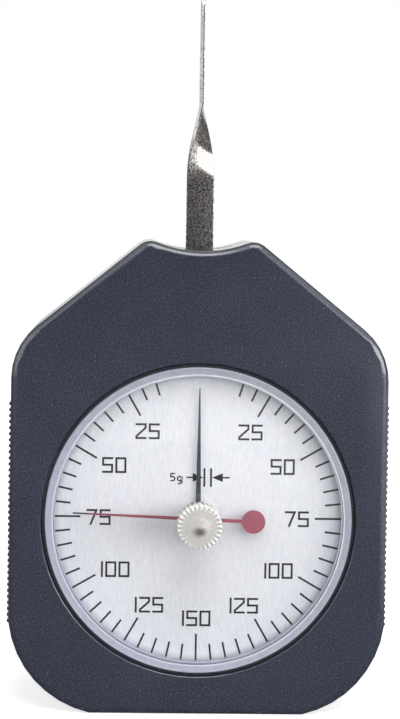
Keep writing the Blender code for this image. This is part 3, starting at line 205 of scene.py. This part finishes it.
def add(tree, kind, settings=None, links=None):
    """Add a node, set its sockets and settings by name or number, and link its inputs."""
    node = tree.nodes.new(kind)
    for name, value in (settings or {}).items():
        if name == "stops":
            ramp = node.color_ramp
            while len(ramp.elements) < len(value):
                ramp.elements.new(0.5)
            for element, (position, hex_colour) in zip(ramp.elements, value):
                element.position = position
                element.color = linear(hex_colour)
        elif isinstance(name, int) or name in node.inputs:
            node.inputs[name].default_value = value
        else:
            setattr(node, name, value)
    join(tree, node, links or {})
    return node


def surface(name, base=None, **sockets):
    """Start a Principled material; returns it with its tree and its shader."""
    material = bpy.data.materials.new(name)
    material.use_nodes = True
    tree = material.node_tree
    shader = tree.nodes["Principled BSDF"]
    if base:
        shader.inputs["Base Color"].default_value = linear(base)
    for socket, value in sockets.items():
        shader.inputs[socket.replace("_", " ")].default_value = value
    return material, tree, shader


def noise(tree, grain, detail=2.0, roughness=0.5):
    """Noise over the object, its grain given as the millimetres that one lump takes along X, Y and Z."""
    place = add(tree, "ShaderNodeTexCoord")
    scale = [1 / (size * MM) for size in grain]
    stretch = add(tree, "ShaderNodeMapping", {"Scale": scale}, {"Vector": (place, "Object")})
    return add(tree, "ShaderNodeTexNoise", {"Scale": 1.0, "Detail": detail, "Roughness": roughness},
               {"Vector": (stretch, "Vector")})


def distance_share(tree, centre_z, reach, squash=1):
    """Distance from a centre on the gauge's middle line, seen from the front, as a share of a reach."""
    place = add(tree, "ShaderNodeTexCoord")
    offset = add(tree, "ShaderNodeMapping", {"Location": (0, 0, -squash * centre_z), "Scale": (1, 0, squash)},
                 {"Vector": (place, "Object")})
    distance = add(tree, "ShaderNodeVectorMath", {"operation": "LENGTH"}, {"Vector": (offset, "Vector")})
    return add(tree, "ShaderNodeMath", {"operation": "DIVIDE", 1: reach}, {0: (distance, "Value")})


def moulded_abs():
    """Spark-eroded ABS moulding: dark slate, matt, with a fine even grain, and glints painted into its colour
    here and there.
    """
    material, tree, shader = surface(
        "moulded_abs", Roughness=0.42, Specular_IOR_Level=0.3, Coat_Weight=1.0, Coat_Roughness=0.16,
        Coat_IOR=1.7, Coat_Tint=linear("eceef6"))
    cloud = noise(tree, (7, 7, 7), 3)
    tone = add(tree, "ShaderNodeValToRGB", {"stops": [(0.3, "242833"), (0.7, "2a2e3a")]},
               {"Fac": (cloud, "Fac")})
    # The real grain is about 0.1 mm; 0.3 mm is as fine as the picture can show
    grain = noise(tree, (0.3, 0.3, 0.3), 1)
    # Grain tone, and at its top a painted glint: pale specks added to the colour
    grain_and_painted_glint = add(tree, "ShaderNodeValToRGB",
                {"stops": [(0.4, "000000"), (0.6, "3a3e48"), (0.74, "4a4e58"), (0.8, "b0b4bc")]},
                {"Fac": (grain, "Fac")})
    speckled = add(tree, "ShaderNodeMix", {"data_type": "RGBA", "blend_type": "ADD", 0: 0.5},
                   {6: (tone, "Color"), 7: (grain_and_painted_glint, "Color")})
    bump = add(tree, "ShaderNodeBump", {"Strength": 0.35, "Distance": 0.03 * MM}, {"Height": (grain, "Fac")})
    join(tree, shader, {"Base Color": (speckled, 2), "Normal": (bump, "Normal")})
    return material


def let_light_through(tree, shader, share):
    """Let a share of the lamps' light pass straight on, so that the surface casts a weaker shadow."""
    path = add(tree, "ShaderNodeLightPath")
    passed = add(tree, "ShaderNodeMath", {"operation": "MULTIPLY", 1: share}, {0: (path, "Is Shadow Ray")})
    clear = add(tree, "ShaderNodeBsdfTransparent", {"Color": linear("fafafa")})
    both = add(tree, "ShaderNodeMixShader", None,
               {"Fac": (passed, "Value"), 1: (shader, "BSDF"), 2: (clear, "BSDF")})
    join(tree, tree.nodes["Material Output"], {"Surface": (both, "Shader")})


def clear_acrylic():
    """Polished cast acrylic: clear, with a sharp reflection; it lets the lamps light the dial behind it."""
    material, tree, shader = surface(
        "clear_acrylic", "fbfbfb", Roughness=0.02, IOR=1.49, Transmission_Weight=1.0)
    let_light_through(tree, shader, 1.0)
    return material


def satin_acrylic(name, dark, light, roughness, clearness):
    """Turned acrylic left satin by the tool: pale and half clear, with a gloss at a low angle."""
    material, tree, shader = surface(name, Roughness=roughness, IOR=1.49, Transmission_Weight=clearness)
    tool = noise(tree, (1.5, 0.15, 1.5), 2)
    tone = add(tree, "ShaderNodeValToRGB", {"stops": [(0.3, dark), (0.7, light)]}, {"Fac": (tool, "Fac")})
    join(tree, shader, {"Base Color": (tone, "Color")})
    let_light_through(tree, shader, SATIN_PASSES)
    return material


def moulded_rubber():
    """Moulded nitrile rubber seal: black and matt, faintly bloomed."""
    material, tree, shader = surface("moulded_rubber", Roughness=0.65)
    bloom = noise(tree, (0.8, 0.8, 0.8), 3)
    tone = add(tree, "ShaderNodeValToRGB", {"stops": [(0.3, "1a1c20"), (0.7, "25272c")]},
               {"Fac": (bloom, "Fac")})
    join(tree, shader, {"Base Color": (tone, "Color")})
    return material


def brushed_aluminium_dial():
    """Brushed and lacquered aluminium sheet: pale silver with fine upright lines, and painted shade that greys
    its edge by the lens wall.
    """
    material, tree, shader = surface("brushed_aluminium_dial", Metallic=0.35, Roughness=0.45)
    # Real brush lines are about 0.05 mm apart; they are drawn wider so that they show
    brush = noise(tree, (0.16, 1, 1.1), 4, 0.6)
    lines = add(tree, "ShaderNodeValToRGB", {"stops": [(0.3, "dddfe6"), (0.7, "f0f1f5")]},
                {"Fac": (brush, "Fac")})
    share = distance_share(tree, DIAL_CENTRE_Z, DIAL_SHADE_RADIUS)
    # Painted shade: the dial grows greyer towards its edge, where the lens wall shades it
    edge = add(tree, "ShaderNodeValToRGB", {"stops": [(0.915, "ffffff"), (0.95, "e0e0e3")]},
               {"Fac": (share, "Value")})
    shaded = add(tree, "ShaderNodeMix", {"data_type": "RGBA", "blend_type": "MULTIPLY", 0: 1.0},
                 {6: (lines, "Color"), 7: (edge, "Color")})
    bump = add(tree, "ShaderNodeBump", {"Strength": 0.1, "Distance": 0.01 * MM}, {"Height": (brush, "Fac")})
    join(tree, shader, {"Base Color": (shaded, 2), "Normal": (bump, "Normal")})
    return material


def ink():
    """Screen-printed ink: near black, with a slightly uneven film."""
    material, tree, shader = surface("screen_printed_ink", Roughness=0.6)
    film = noise(tree, (0.4, 0.4, 0.4), 2)
    tone = add(tree, "ShaderNodeValToRGB", {"stops": [(0.3, "0c0d11"), (0.7, "16181d")]},
               {"Fac": (film, "Fac")})
    join(tree, shader, {"Base Color": (tone, "Color")})
    return material


def black_enamel():
    """Stoved enamel on thin brass: slate black with a soft gloss."""
    material, tree, shader = surface("stoved_black_enamel", Roughness=0.38)
    film = noise(tree, (0.5, 0.5, 1.5), 2)
    tone = add(tree, "ShaderNodeValToRGB", {"stops": [(0.3, "2f323b"), (0.7, "3f434e")]},
               {"Fac": (film, "Fac")})
    join(tree, shader, {"Base Color": (tone, "Color")})
    return material


def red_enamel():
    """Stoved red enamel on thin brass, its pointed end black."""
    material, tree, shader = surface("stoved_red_enamel", Roughness=0.42)
    place = add(tree, "ShaderNodeTexCoord")
    axes = add(tree, "ShaderNodeSeparateXYZ", None, {"Vector": (place, "Object")})
    reach = add(tree, "ShaderNodeMath", {"operation": "MULTIPLY", 1: -1 / DRAG_HAND_REACH}, {0: (axes, "X")})
    tone = add(tree, "ShaderNodeValToRGB",
               {"stops": [(0.0, "96505d"), (0.9, "8c4856"), (0.925, "23242c"), (1.0, "1d1f26")]},
               {"Fac": (reach, "Value")})
    join(tree, shader, {"Base Color": (tone, "Color")})
    return material


def metal(name, dark, light, grain, roughness, detail=3.0, bump_height=0.005, bareness=1.0):
    """A bare or plated metal: two close tones in a grain that follows how it was worked."""
    material, tree, shader = surface(name, Metallic=bareness, Roughness=roughness)
    marks = noise(tree, grain, detail)
    tone = add(tree, "ShaderNodeValToRGB", {"stops": [(0.3, dark), (0.7, light)]}, {"Fac": (marks, "Fac")})
    bump = add(tree, "ShaderNodeBump", {"Strength": 0.2, "Distance": bump_height * MM},
               {"Height": (marks, "Fac")})
    join(tree, shader, {"Base Color": (tone, "Color"), "Normal": (bump, "Normal")})
    return material


def nickel_plate(name):
    """Nickel plate over turned brass: warm pale grey, satin, faintly mottled."""
    return metal(name, "e0dcd6", "f8f6f2", (0.35, 0.35, 0.35), 0.36, bareness=0.55)


def nickel_with_dark_spot():
    """Nickel plate as on the other turned pieces, darker and browner in a soft spot a little below the knob's
    middle.
    """
    material = nickel_plate("nickel_plate_dark_spot")
    tree = material.node_tree
    shader = tree.nodes["Principled BSDF"]
    plate = shader.inputs["Base Color"].links[0].from_node
    share = distance_share(tree, DIAL_CENTRE_Z - KNOB_SPOT_DROP, KNOB_SPOT_REACH, KNOB_SPOT_SQUASH)
    spot_tone = add(tree, "ShaderNodeValToRGB", {"stops": [(0.0, "7a736d"), (0.45, "aca5a0"), (1.0, "ffffff")]},
               {"Fac": (share, "Value")})
    spotted = add(tree, "ShaderNodeMix", {"data_type": "RGBA", "blend_type": "MULTIPLY", 0: 1.0},
               {6: (plate, "Color"), 7: (spot_tone, "Color")})
    join(tree, shader, {"Base Color": (spotted, 2)})
    return material


HOUSING = moulded_abs()
ACRYLIC = clear_acrylic()
# The lens's side, its front rim, the inside of its wall, and the corner under its disc
ACRYLIC_WALL = satin_acrylic("turned_acrylic_wall", "a2a7ba", "b4b8ca", 0.25, 0.3)
ACRYLIC_RIM = satin_acrylic("turned_acrylic_rim", "dadce8", "eaebf3", 0.3, 0.64)
# The inside of the wall is a darker copy of the satin acrylic: painted shade, as it faces inwards and is lit
# less
ACRYLIC_BORE_PAINTED_SHADE = satin_acrylic("turned_acrylic_bore_painted_shade", "9a9faa", "a9aeb8", 0.3, 0.3)
# The inner corner and a thin line round the front are painted pale and opaque: a painted highlight, the glint
# of the turned corner
ACRYLIC_CORNER_PAINTED_HIGHLIGHT = satin_acrylic("turned_acrylic_corner_painted_highlight", "c6c8d1", "cfd1d9", 0.5, 0.0)
RUBBER = moulded_rubber()
DIAL_SILVER = brushed_aluminium_dial()
INK = ink()
BLACK = black_enamel()
RED = red_enamel()
NICKEL = nickel_plate("satin_nickel_plate")
KNOB_NICKEL = nickel_with_dark_spot()
# Spring steel, tempered and tumbled: brown-grey, with a fine bright grain
FEELER_STEEL = metal("tumbled_spring_steel", "645e5a", "d6d2ce", (0.26, 0.26, 0.3), 0.17, 0.5, 0.008, 0.84)
# The strip's sheared edges, where burnished: plainer than its tumbled faces, and lighter as a painted sheen
SHEARED_STEEL_PAINTED_SHEEN = metal("sheared_spring_steel_painted_sheen", "b4b2b0", "dcdad8", (0.5, 0.5, 0.6), 0.4, 2, 0.004, 0.45)
# Turned free-cutting brass: yellow with fine rings
BRASS = metal("turned_brass", "b3924a", "c9aa62", (0.3, 0.3, 0.3), 0.34)
# Ground silver steel: neutral grey, satin
STEEL = metal("ground_steel", "9c9a96", "b9b6b1", (0.3, 0.3, 0.3), 0.32)
# Spring strip tempered blue: dark slate blue with a bright sheen
BLUED = metal("blued_spring_steel", "52617f", "6b7b99", (0.4, 0.4, 0.4), 0.28)

FINISHES = {
    "housing": HOUSING, "lens": ACRYLIC, "seal": RUBBER, "dial_silver": DIAL_SILVER, "black_enamel": BLACK,
    "red_enamel": RED, "nickel": NICKEL, "feeler_steel": FEELER_STEEL, "steel": STEEL,
    "spring_steel": BLUED, "brass": BRASS,
}


def finish_node(node):
    """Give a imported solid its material, and smooth its facets without rounding its real edges."""
    slot = node.material_slots[0]
    slot.material = FINISHES[slot.material.name.split(".")[0]]
    custom = node.data.attributes.get("custom_normal")
    if custom:
        node.data.attributes.remove(custom)
    for polygon in node.data.polygons:
        polygon.use_smooth = True
    weld = node.modifiers.new("weld", "WELD")
    weld.merge_threshold = WELD_GAP
    split = node.modifiers.new("real_edges", "EDGE_SPLIT")
    split.split_angle = math.radians(SOLID_SHARP_ANGLE)
    split.use_edge_sharp = False
    node.modifiers.new("flat_faces", "WEIGHTED_NORMAL")


def keep(piece, body, materials, sharp_angle=PIECE_SHARP_ANGLE):
    """Finish a new piece: materials, shading and the body it moves with."""
    piece.data.materials.clear()
    for material in materials:
        piece.data.materials.append(material)
    piece.data.shade_smooth()
    piece.data.set_sharp_from_angle(angle=math.radians(sharp_angle))
    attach(piece, body)


def paint(piece, polygon, material):
    """Give one face of a piece one of the piece's own materials."""
    polygon.material_index = piece.data.materials.find(material.name)


def mesh_piece(name, mesh_maker):
    """Make a mesh object at the origin and link it to the scene."""
    mesh = bpy.data.meshes.new(name)
    bmesh.ops.recalc_face_normals(mesh_maker, faces=mesh_maker.faces)
    mesh_maker.to_mesh(mesh)
    mesh_maker.free()
    piece = bpy.data.objects.new(name, mesh)
    bpy.context.scene.collection.objects.link(piece)
    return piece


def on_dial_axis(radius, angle, y):
    """Point at a radius and an angle round the dial's axis, the angle running from +X towards +Z."""
    return (radius * math.cos(angle), y, DIAL_CENTRE_Z + radius * math.sin(angle))


def quarter(centre_radius, centre_y, size):
    """Points of a turned profile's quarter round, as (radius, y), from its outer side to its front."""
    points = []
    for index in range(ROUND_STEPS + 1):
        angle = math.radians(90 * index / ROUND_STEPS)
        points.append((centre_radius + size * math.cos(angle), centre_y - size * math.sin(angle)))
    return points


def loft(rings, closed_ends=True):
    """Skin rings of equal count into one closed body."""
    maker = bmesh.new()
    rows = [[maker.verts.new(point) for point in ring] for ring in rings]
    pairs = list(zip(rows, rows[1:]))
    if not closed_ends:
        pairs.append((rows[-1], rows[0]))
    for first, second in pairs:
        for index in range(len(first)):
            following = (index + 1) % len(first)
            maker.faces.new((first[index], first[following], second[following], second[index]))
    if closed_ends:
        maker.faces.new(rows[0])
        maker.faces.new(rows[-1])
    return maker


def build_lens():
    """Cup with rounded edges, satin all over but its disc, which has a hole for the knob's stem."""
    wall = LENS_RADIUS - LENS_WALL
    under = LENS_FRONT + LENS_DISC
    outer = quarter(LENS_RADIUS - LENS_EDGE_ROUND, LENS_FRONT + LENS_EDGE_ROUND, LENS_EDGE_ROUND)
    inner = quarter(wall - LENS_INNER_ROUND, under + LENS_INNER_ROUND, LENS_INNER_ROUND)
    profile = [(LENS_BORE, LENS_FRONT), (wall, LENS_FRONT), (wall + LENS_HIGHLIGHT_LINE, LENS_FRONT),
               *reversed(outer), (LENS_RADIUS, LENS_REAR), (wall, LENS_REAR), *inner, (LENS_BORE, under)]
    rings = []
    for radius, y in profile:
        rings.append([on_dial_axis(radius, 2 * math.pi * step / LENS_STEPS, y) for step in range(LENS_STEPS)])
    lens = mesh_piece("lens_cup", loft(rings, closed_ends=False))
    keep(lens, "housing", [ACRYLIC, ACRYLIC_WALL, ACRYLIC_CORNER_PAINTED_HIGHLIGHT, ACRYLIC_BORE_PAINTED_SHADE, ACRYLIC_RIM])
    for polygon in lens.data.polygons:
        middle = polygon.center
        reach = math.hypot(middle.x, middle.z - DIAL_CENTRE_Z)
        if wall - LENS_INNER_ROUND < reach < wall and under < middle.y < under + LENS_INNER_ROUND:
            paint(lens, polygon, ACRYLIC_CORNER_PAINTED_HIGHLIGHT)
        elif reach > wall + LENS_INNER_ROUND and middle.y > LENS_FRONT + LENS_RIM_DEPTH:
            paint(lens, polygon, ACRYLIC_WALL)
        elif reach > wall - LENS_INNER_ROUND and middle.y > under:
            paint(lens, polygon, ACRYLIC_BORE_PAINTED_SHADE)
        elif reach > wall + LENS_HIGHLIGHT_LINE:
            paint(lens, polygon, ACRYLIC_RIM)
        elif reach > wall and middle.y < under:
            paint(lens, polygon, ACRYLIC_CORNER_PAINTED_HIGHLIGHT)
    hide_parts("crystal")


def build_knob():
    """Knurled knob: flutes whose ends notch the front, and a face that swells a little in its middle."""
    head_radius = (KNOB_HIGH.x - KNOB_LOW.x) / 2
    dome_base = math.sqrt(KNOB_DOME_CURVE ** 2 - KNOB_DOME_RADIUS ** 2)
    front = KNOB_LOW.y + KNOB_DOME_CURVE - dome_base
    head_rear = KNOB_LOW.y + KNOB_HEAD_LENGTH
    bore_floor = KNOB_HIGH.y - KNOB_BORE_DEPTH
    # Sections from the bore's floor round the outside to the swell: radius, y, share of the flute's depth
    sections = [(KNOB_BORE_EYE, bore_floor, 0), (KNOB_BORE, bore_floor, 0),
                (KNOB_BORE, KNOB_HIGH.y, 0), (KNOB_NECK_RADIUS, KNOB_HIGH.y, 0),
                (KNOB_NECK_RADIUS, head_rear, 0), (head_radius - KNOB_EDGE, head_rear, 1),
                (head_radius, head_rear - KNOB_EDGE, 1), (head_radius, front + KNOB_EDGE, 1),
                (head_radius - KNOB_FRONT_EDGE, front + KNOB_FRONT_EDGE, 1)]
    face = []
    rim = head_radius - KNOB_EDGE
    for index in range(KNOB_GROOVE_RINGS + 1):
        share = index / KNOB_GROOVE_RINGS
        face.append((rim + (KNOB_GROOVE_START - rim) * share, front, 1 - share))
    for index in range(KNOB_DOME_RINGS):
        radius = KNOB_DOME_RADIUS * (1 - index / KNOB_DOME_RINGS)
        face.append((radius, front + dome_base - math.sqrt(KNOB_DOME_CURVE ** 2 - radius ** 2), 0))
    steps = KNOB_FLUTES * KNOB_STEPS_A_FLUTE
    rings = []
    for radius, y, fluted in sections + face:
        ring = []
        for step in range(steps):
            angle = 2 * math.pi * step / steps
            wave = 0.5 - 0.5 * math.cos(KNOB_FLUTES * angle)
            if (radius, y, fluted) in face:
                notch = KNOB_GROOVE_DEPTH * fluted * wave ** KNOB_NOTCH_POWER
                ring.append(on_dial_axis(radius, angle, y + notch))
            else:
                ring.append(on_dial_axis(radius - KNOB_FLUTE_DEPTH * fluted * wave, angle, y))
        rings.append(ring)
    knob = mesh_piece("knurled_knob", loft(rings))
    keep(knob, "drag_pointer", [KNOB_NICKEL], KNOB_SHARP_ANGLE)
    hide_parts("reset_knob")


def blade_section(width, thickness):
    """Rounded outline of the blade, as (across, through) points; one a side is where its edge is torn."""
    points = []
    for side_x, side_y, start in ((1, 1, 0), (-1, 1, 90), (-1, -1, 180), (1, -1, 270)):
        for index in range(BLADE_CORNER_STEPS + 1):
            angle = math.radians(start + 90 * index / BLADE_CORNER_STEPS)
            x = side_x * (width / 2 - BLADE_EDGE_ROUND) + BLADE_EDGE_ROUND * math.cos(angle)
            y = side_y * (thickness / 2 - BLADE_EDGE_ROUND) + BLADE_EDGE_ROUND * math.sin(angle)
            points.append((x, y))
        if side_x * side_y < 0:
            points.append((side_x * width / 2, side_y * BLADE_TORN_FROM))
    return points


def build_blade():
    """Feeler strip, twisted a quarter turn with its left edge to the front, narrowing to its tip."""
    top = BLADE_HIGH.z
    bottom = BLADE_LOW.z
    count = round((top - bottom) / BLADE_RING_GAP)
    rings = []
    for index in range(count + 1):
        z = bottom + (top - bottom) * index / count
        rise = min(max((z - BLADE_TWIST_START) / (BLADE_TWIST_END - BLADE_TWIST_START), 0.0), 1.0)
        eased = rise * rise * (3 - 2 * rise)
        angle = math.pi / 2 * (rise + (eased - rise) * BLADE_TWIST_EASE)
        taper = max((z - BLADE_TWIST_START) / (top - BLADE_TWIST_START), 0.0)
        width = BLADE_WIDTH + (BLADE_TIP_WIDTH - BLADE_WIDTH) * taper
        width -= max(0.0, z - top + BLADE_TIP_TAPER) ** 2 / BLADE_TIP_TAPER
        ring = []
        for across, through in blade_section(width, BLADE_THICKNESS):
            forward = through * math.cos(angle) - across * math.sin(angle)
            ring.append((across * math.cos(angle) + through * math.sin(angle), BLADE_MIDDLE_Y - forward, z))
        rings.append(ring)
    blade = mesh_piece("feeler_strip", loft(rings))
    keep(blade, "feeler", [FEELER_STEEL, SHEARED_STEEL_PAINTED_SHEEN])
    around = len(rings[0])
    # Of each ring's faces, the two that run from a torn edge's line to the next corner, painted lighter as a
    # painted sheen
    burnished_painted_sheen = (around // 2 - 1, around - 1)
    for polygon in blade.data.polygons[:count * around]:
        if polygon.index % around in burnished_painted_sheen:
            paint(blade, polygon, SHEARED_STEEL_PAINTED_SHEEN)
    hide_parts("feeler_blade")


def print_piece(name, loops):
    """One thin film of ink on the dial from flat outlines of (x, z) points round the dial's centre."""
    curve = bpy.data.curves.new(name, "CURVE")
    curve.dimensions = "2D"
    curve.fill_mode = "BOTH"
    curve.extrude = PRINT_THICKNESS / 2
    for loop in loops:
        spline = curve.splines.new("POLY")
        spline.points.add(len(loop) - 1)
        for point, (x, z) in zip(spline.points, loop):
            point.co = (x, z, 0, 1)
        spline.use_cyclic_u = True
    drawn = bpy.data.objects.new(name + "_drawn", curve)
    bpy.context.scene.collection.objects.link(drawn)
    bpy.context.view_layer.update()
    mesh = bpy.data.meshes.new_from_object(drawn.evaluated_get(bpy.context.evaluated_depsgraph_get()))
    bpy.data.objects.remove(drawn, do_unlink=True)
    stand = Matrix.Rotation(math.pi / 2, 4, "X")
    mesh.transform(Matrix.Translation((0, DIAL_FACE - PRINT_THICKNESS / 2, DIAL_CENTRE_Z)) @ stand)
    piece = bpy.data.objects.new(name, mesh)
    bpy.context.scene.collection.objects.link(piece)
    keep(piece, "housing", [INK])


def offset_line(points, distance, closed):
    """The line at a distance to the left of a polyline, with mitred corners."""
    shifted = []
    count = len(points)
    for index, point in enumerate(points):
        before = points[index - 1] if closed or index else None
        after = points[(index + 1) % count] if closed or index < count - 1 else None
        normals = []
        for start, end in ((before, point), (point, after)):
            if start is not None and end is not None:
                run = Vector(end) - Vector(start)
                normals.append(Vector((-run.y, run.x)).normalized())
        middle = sum(normals, Vector((0, 0))).normalized()
        shifted.append(tuple(Vector(point) + middle * distance / middle.dot(normals[0])))
    return shifted


def stroke(points, width):
    """Outlines of a line of even width: one for an open line and two for a closed one."""
    closed = points[0] == points[-1]
    line = points[:-1] if closed else points
    left = offset_line(line, width / 2, closed)
    right = offset_line(line, -width / 2, closed)
    return [left, right] if closed else [left + right[::-1]]


def lengthened(line, extra):
    """A polyline with both ends drawn out, so that its strokes end square past the box."""
    first, second = Vector(line[0]), Vector(line[1])
    last, before = Vector(line[-1]), Vector(line[-2])
    start = first + (first - second).normalized() * extra
    end = last + (last - before).normalized() * extra
    return [tuple(start), *line[1:-1], tuple(end)]


def number_loops(text, x, z):
    """Outlines of a number set in squared strokes and centred on a point."""
    widths = [0.0 if digit == "1" else DIGIT_WIDTH - DIGIT_STROKE for digit in text]
    total = sum(widths) + DIGIT_STROKE * len(text) + DIGIT_GAP * (len(text) - 1)
    pen = x - total / 2 + DIGIT_STROKE / 2
    height = DIGIT_HEIGHT - DIGIT_STROKE
    loops = []
    for digit, width in zip(text, widths):
        line = [(pen + across * width, z + (up - 0.5) * height) for across, up in DIGITS[digit]]
        if line[0] != line[-1]:
            line = lengthened(line, DIGIT_STROKE / 2)
        loops += stroke(line, DIGIT_STROKE)
        pen += width + DIGIT_STROKE + DIGIT_GAP
    return loops


def in_metres(points):
    """Points given in millimetres, in metres."""
    return [(x * MM, z * MM) for x, z in points]


def build_print():
    """The scale's marks, its numbers on both sides, and the sign for the value of one division."""
    ticks = []
    for degrees in range(FIRST_TICK, 360 - FIRST_TICK + 1, TICK_STEP):
        start = LONG_TICK_START if degrees % LONG_TICK_STEP == 0 else SHORT_TICK_START
        out = Vector((math.sin(math.radians(degrees)), math.cos(math.radians(degrees))))
        ticks += stroke([tuple(out * start), tuple(out * TICK_END)], TICK_WIDTH)
    print_piece("scale_marks", ticks)
    text, x, z = LAST_NUMBER
    numbers = number_loops(text, x * MM, z * MM)
    for text, x, z in NUMBERS:
        numbers += number_loops(text, -x * MM, z * MM)
        numbers += number_loops(text, x * MM, z * MM)
    print_piece("scale_numbers", numbers)
    sign = [in_metres(shape) for shape in SIGN_SHAPES]
    for line in SIGN_LINES:
        sign += stroke(in_metres(line), SIGN_STROKE)
    print_piece("division_sign", sign)


def build_floor():
    """Plain white floor that runs out of view; its own glow lets only the shadow show on it."""
    material, tree, shader = surface("white_paper_floor", Roughness=0.9)
    path = add(tree, "ShaderNodeLightPath")
    place = add(tree, "ShaderNodeTexCoord")
    axes = add(tree, "ShaderNodeSeparateXYZ", None, {"Vector": (place, "Object")})
    # Reflections find a grey floor, with a pale card on it from about 0.1 m to the gauge's right
    card = add(tree, "ShaderNodeValToRGB", {"stops": [(0.09, "626265"), (0.12, "dcdcdc")]},
               {"Fac": (axes, "X")})
    paper = add(tree, "ShaderNodeMix", {"data_type": "RGBA", 6: linear("f4f4f4")},
                {0: (path, "Is Glossy Ray"), 7: (card, "Color")})
    join(tree, shader, {"Base Color": (paper, 2)})
    seen = add(tree, "ShaderNodeMath", {"operation": "MULTIPLY", 1: FLOOR_GLOW}, {0: (path, "Is Camera Ray")})
    glow = add(tree, "ShaderNodeEmission", {"Color": linear("ffffff")}, {"Strength": (seen, "Value")})
    both = add(tree, "ShaderNodeAddShader", None, {0: (shader, "BSDF"), 1: (glow, "Emission")})
    join(tree, tree.nodes["Material Output"], {"Surface": (both, "Shader")})
    maker = bmesh.new()
    maker.faces.new([maker.verts.new((x * FLOOR_HALF, y * FLOOR_HALF, 0))
                     for x, y in ((-1, -1), (1, -1), (1, 1), (-1, 1))])
    floor = mesh_piece("floor", maker)
    floor.data.materials.append(material)


def build_world():
    """White studio: plain white to the eye; reflections also find dim and dark parts of the room."""
    world = bpy.data.worlds.new("studio")
    bpy.context.scene.world = world
    world.use_nodes = True
    tree = world.node_tree
    place = add(tree, "ShaderNodeTexCoord")
    axes = add(tree, "ShaderNodeSeparateXYZ", None, {"Vector": (place, "Generated")})
    # 0 is straight behind the gauge, 1 straight in front of it
    nearness = add(tree, "ShaderNodeMath", {"operation": "MULTIPLY_ADD", 1: -0.5, 2: 0.5}, {0: (axes, "Y")})
    depth_tone = add(tree, "ShaderNodeValToRGB",
                     {"stops": [(0.02, "ffffff"), (0.06, "4a4a4c"), (0.3, "5c5c5e"), (0.42, "ffffff"),
                                (0.93, "ffffff"), (0.972, "38383a"), (1.0, "1c1c1e")]},
                     {"Fac": (nearness, "Value")})
    # A dark panel stands at the far right
    dark_flag = add(tree, "ShaderNodeValToRGB", {"stops": [(0.93, "ffffff"), (0.97, "303032")]},
                    {"Fac": (axes, "X")})
    room = add(tree, "ShaderNodeMix", {"data_type": "RGBA", "blend_type": "MULTIPLY", 0: 1.0},
               {6: (depth_tone, "Color"), 7: (dark_flag, "Color")})
    path = add(tree, "ShaderNodeLightPath")
    light = add(tree, "ShaderNodeMix", {"data_type": "RGBA", 6: linear("949599")},
                {0: (path, "Is Glossy Ray"), 7: (room, 2)})
    plain = add(tree, "ShaderNodeMath", {"operation": "MAXIMUM"},
                {0: (path, "Is Camera Ray"), 1: (path, "Is Transmission Ray")})
    seen = add(tree, "ShaderNodeMix", {"data_type": "RGBA", 7: linear("ffffff")},
               {0: (plain, "Value"), 6: (light, 2)})
    join(tree, tree.nodes["Background"], {"Color": (seen, 2)})


def softbox(name, place, width, height, watts):
    """A flat lamp that faces the gauge."""
    lamp = bpy.data.lights.new(name, "AREA")
    lamp.shape = "RECTANGLE"
    lamp.size = width
    lamp.size_y = height
    lamp.energy = watts
    holder = bpy.data.objects.new(name, lamp)
    holder.location = place
    towards = Vector(LAMP_TARGET) - Vector(place)
    holder.rotation_euler = towards.to_track_quat("-Z", "Y").to_euler()
    bpy.context.scene.collection.objects.link(holder)


def build_camera():
    """The photograph's view: from the left and above, with part of the framing done by a shift."""
    camera = bpy.data.cameras.new("camera")
    camera.sensor_width = CAMERA_SENSOR
    camera.lens = CAMERA_LENS
    camera.shift_x, camera.shift_y = CAMERA_SHIFT
    camera.clip_start, camera.clip_end = CAMERA_CLIP
    holder = bpy.data.objects.new("camera", camera)
    holder.location = CAMERA_PLACE
    pitch, yaw, roll = (math.radians(angle) for angle in (CAMERA_PITCH, CAMERA_YAW, CAMERA_ROLL))
    turn = (Matrix.Rotation(yaw, 4, "Z") @ Matrix.Rotation(math.pi / 2 + pitch, 4, "X")
            @ Matrix.Rotation(roll, 4, "Z"))
    holder.rotation_euler = turn.to_euler()
    bpy.context.scene.collection.objects.link(holder)
    bpy.context.scene.camera = holder


for node in NODES.values():
    finish_node(node)
build_lens()
build_knob()
build_blade()
build_print()
build_floor()
build_world()
for lamp in LAMPS:
    softbox(*lamp)
build_camera()
bpy.context.scene.view_settings.view_transform = "Standard"
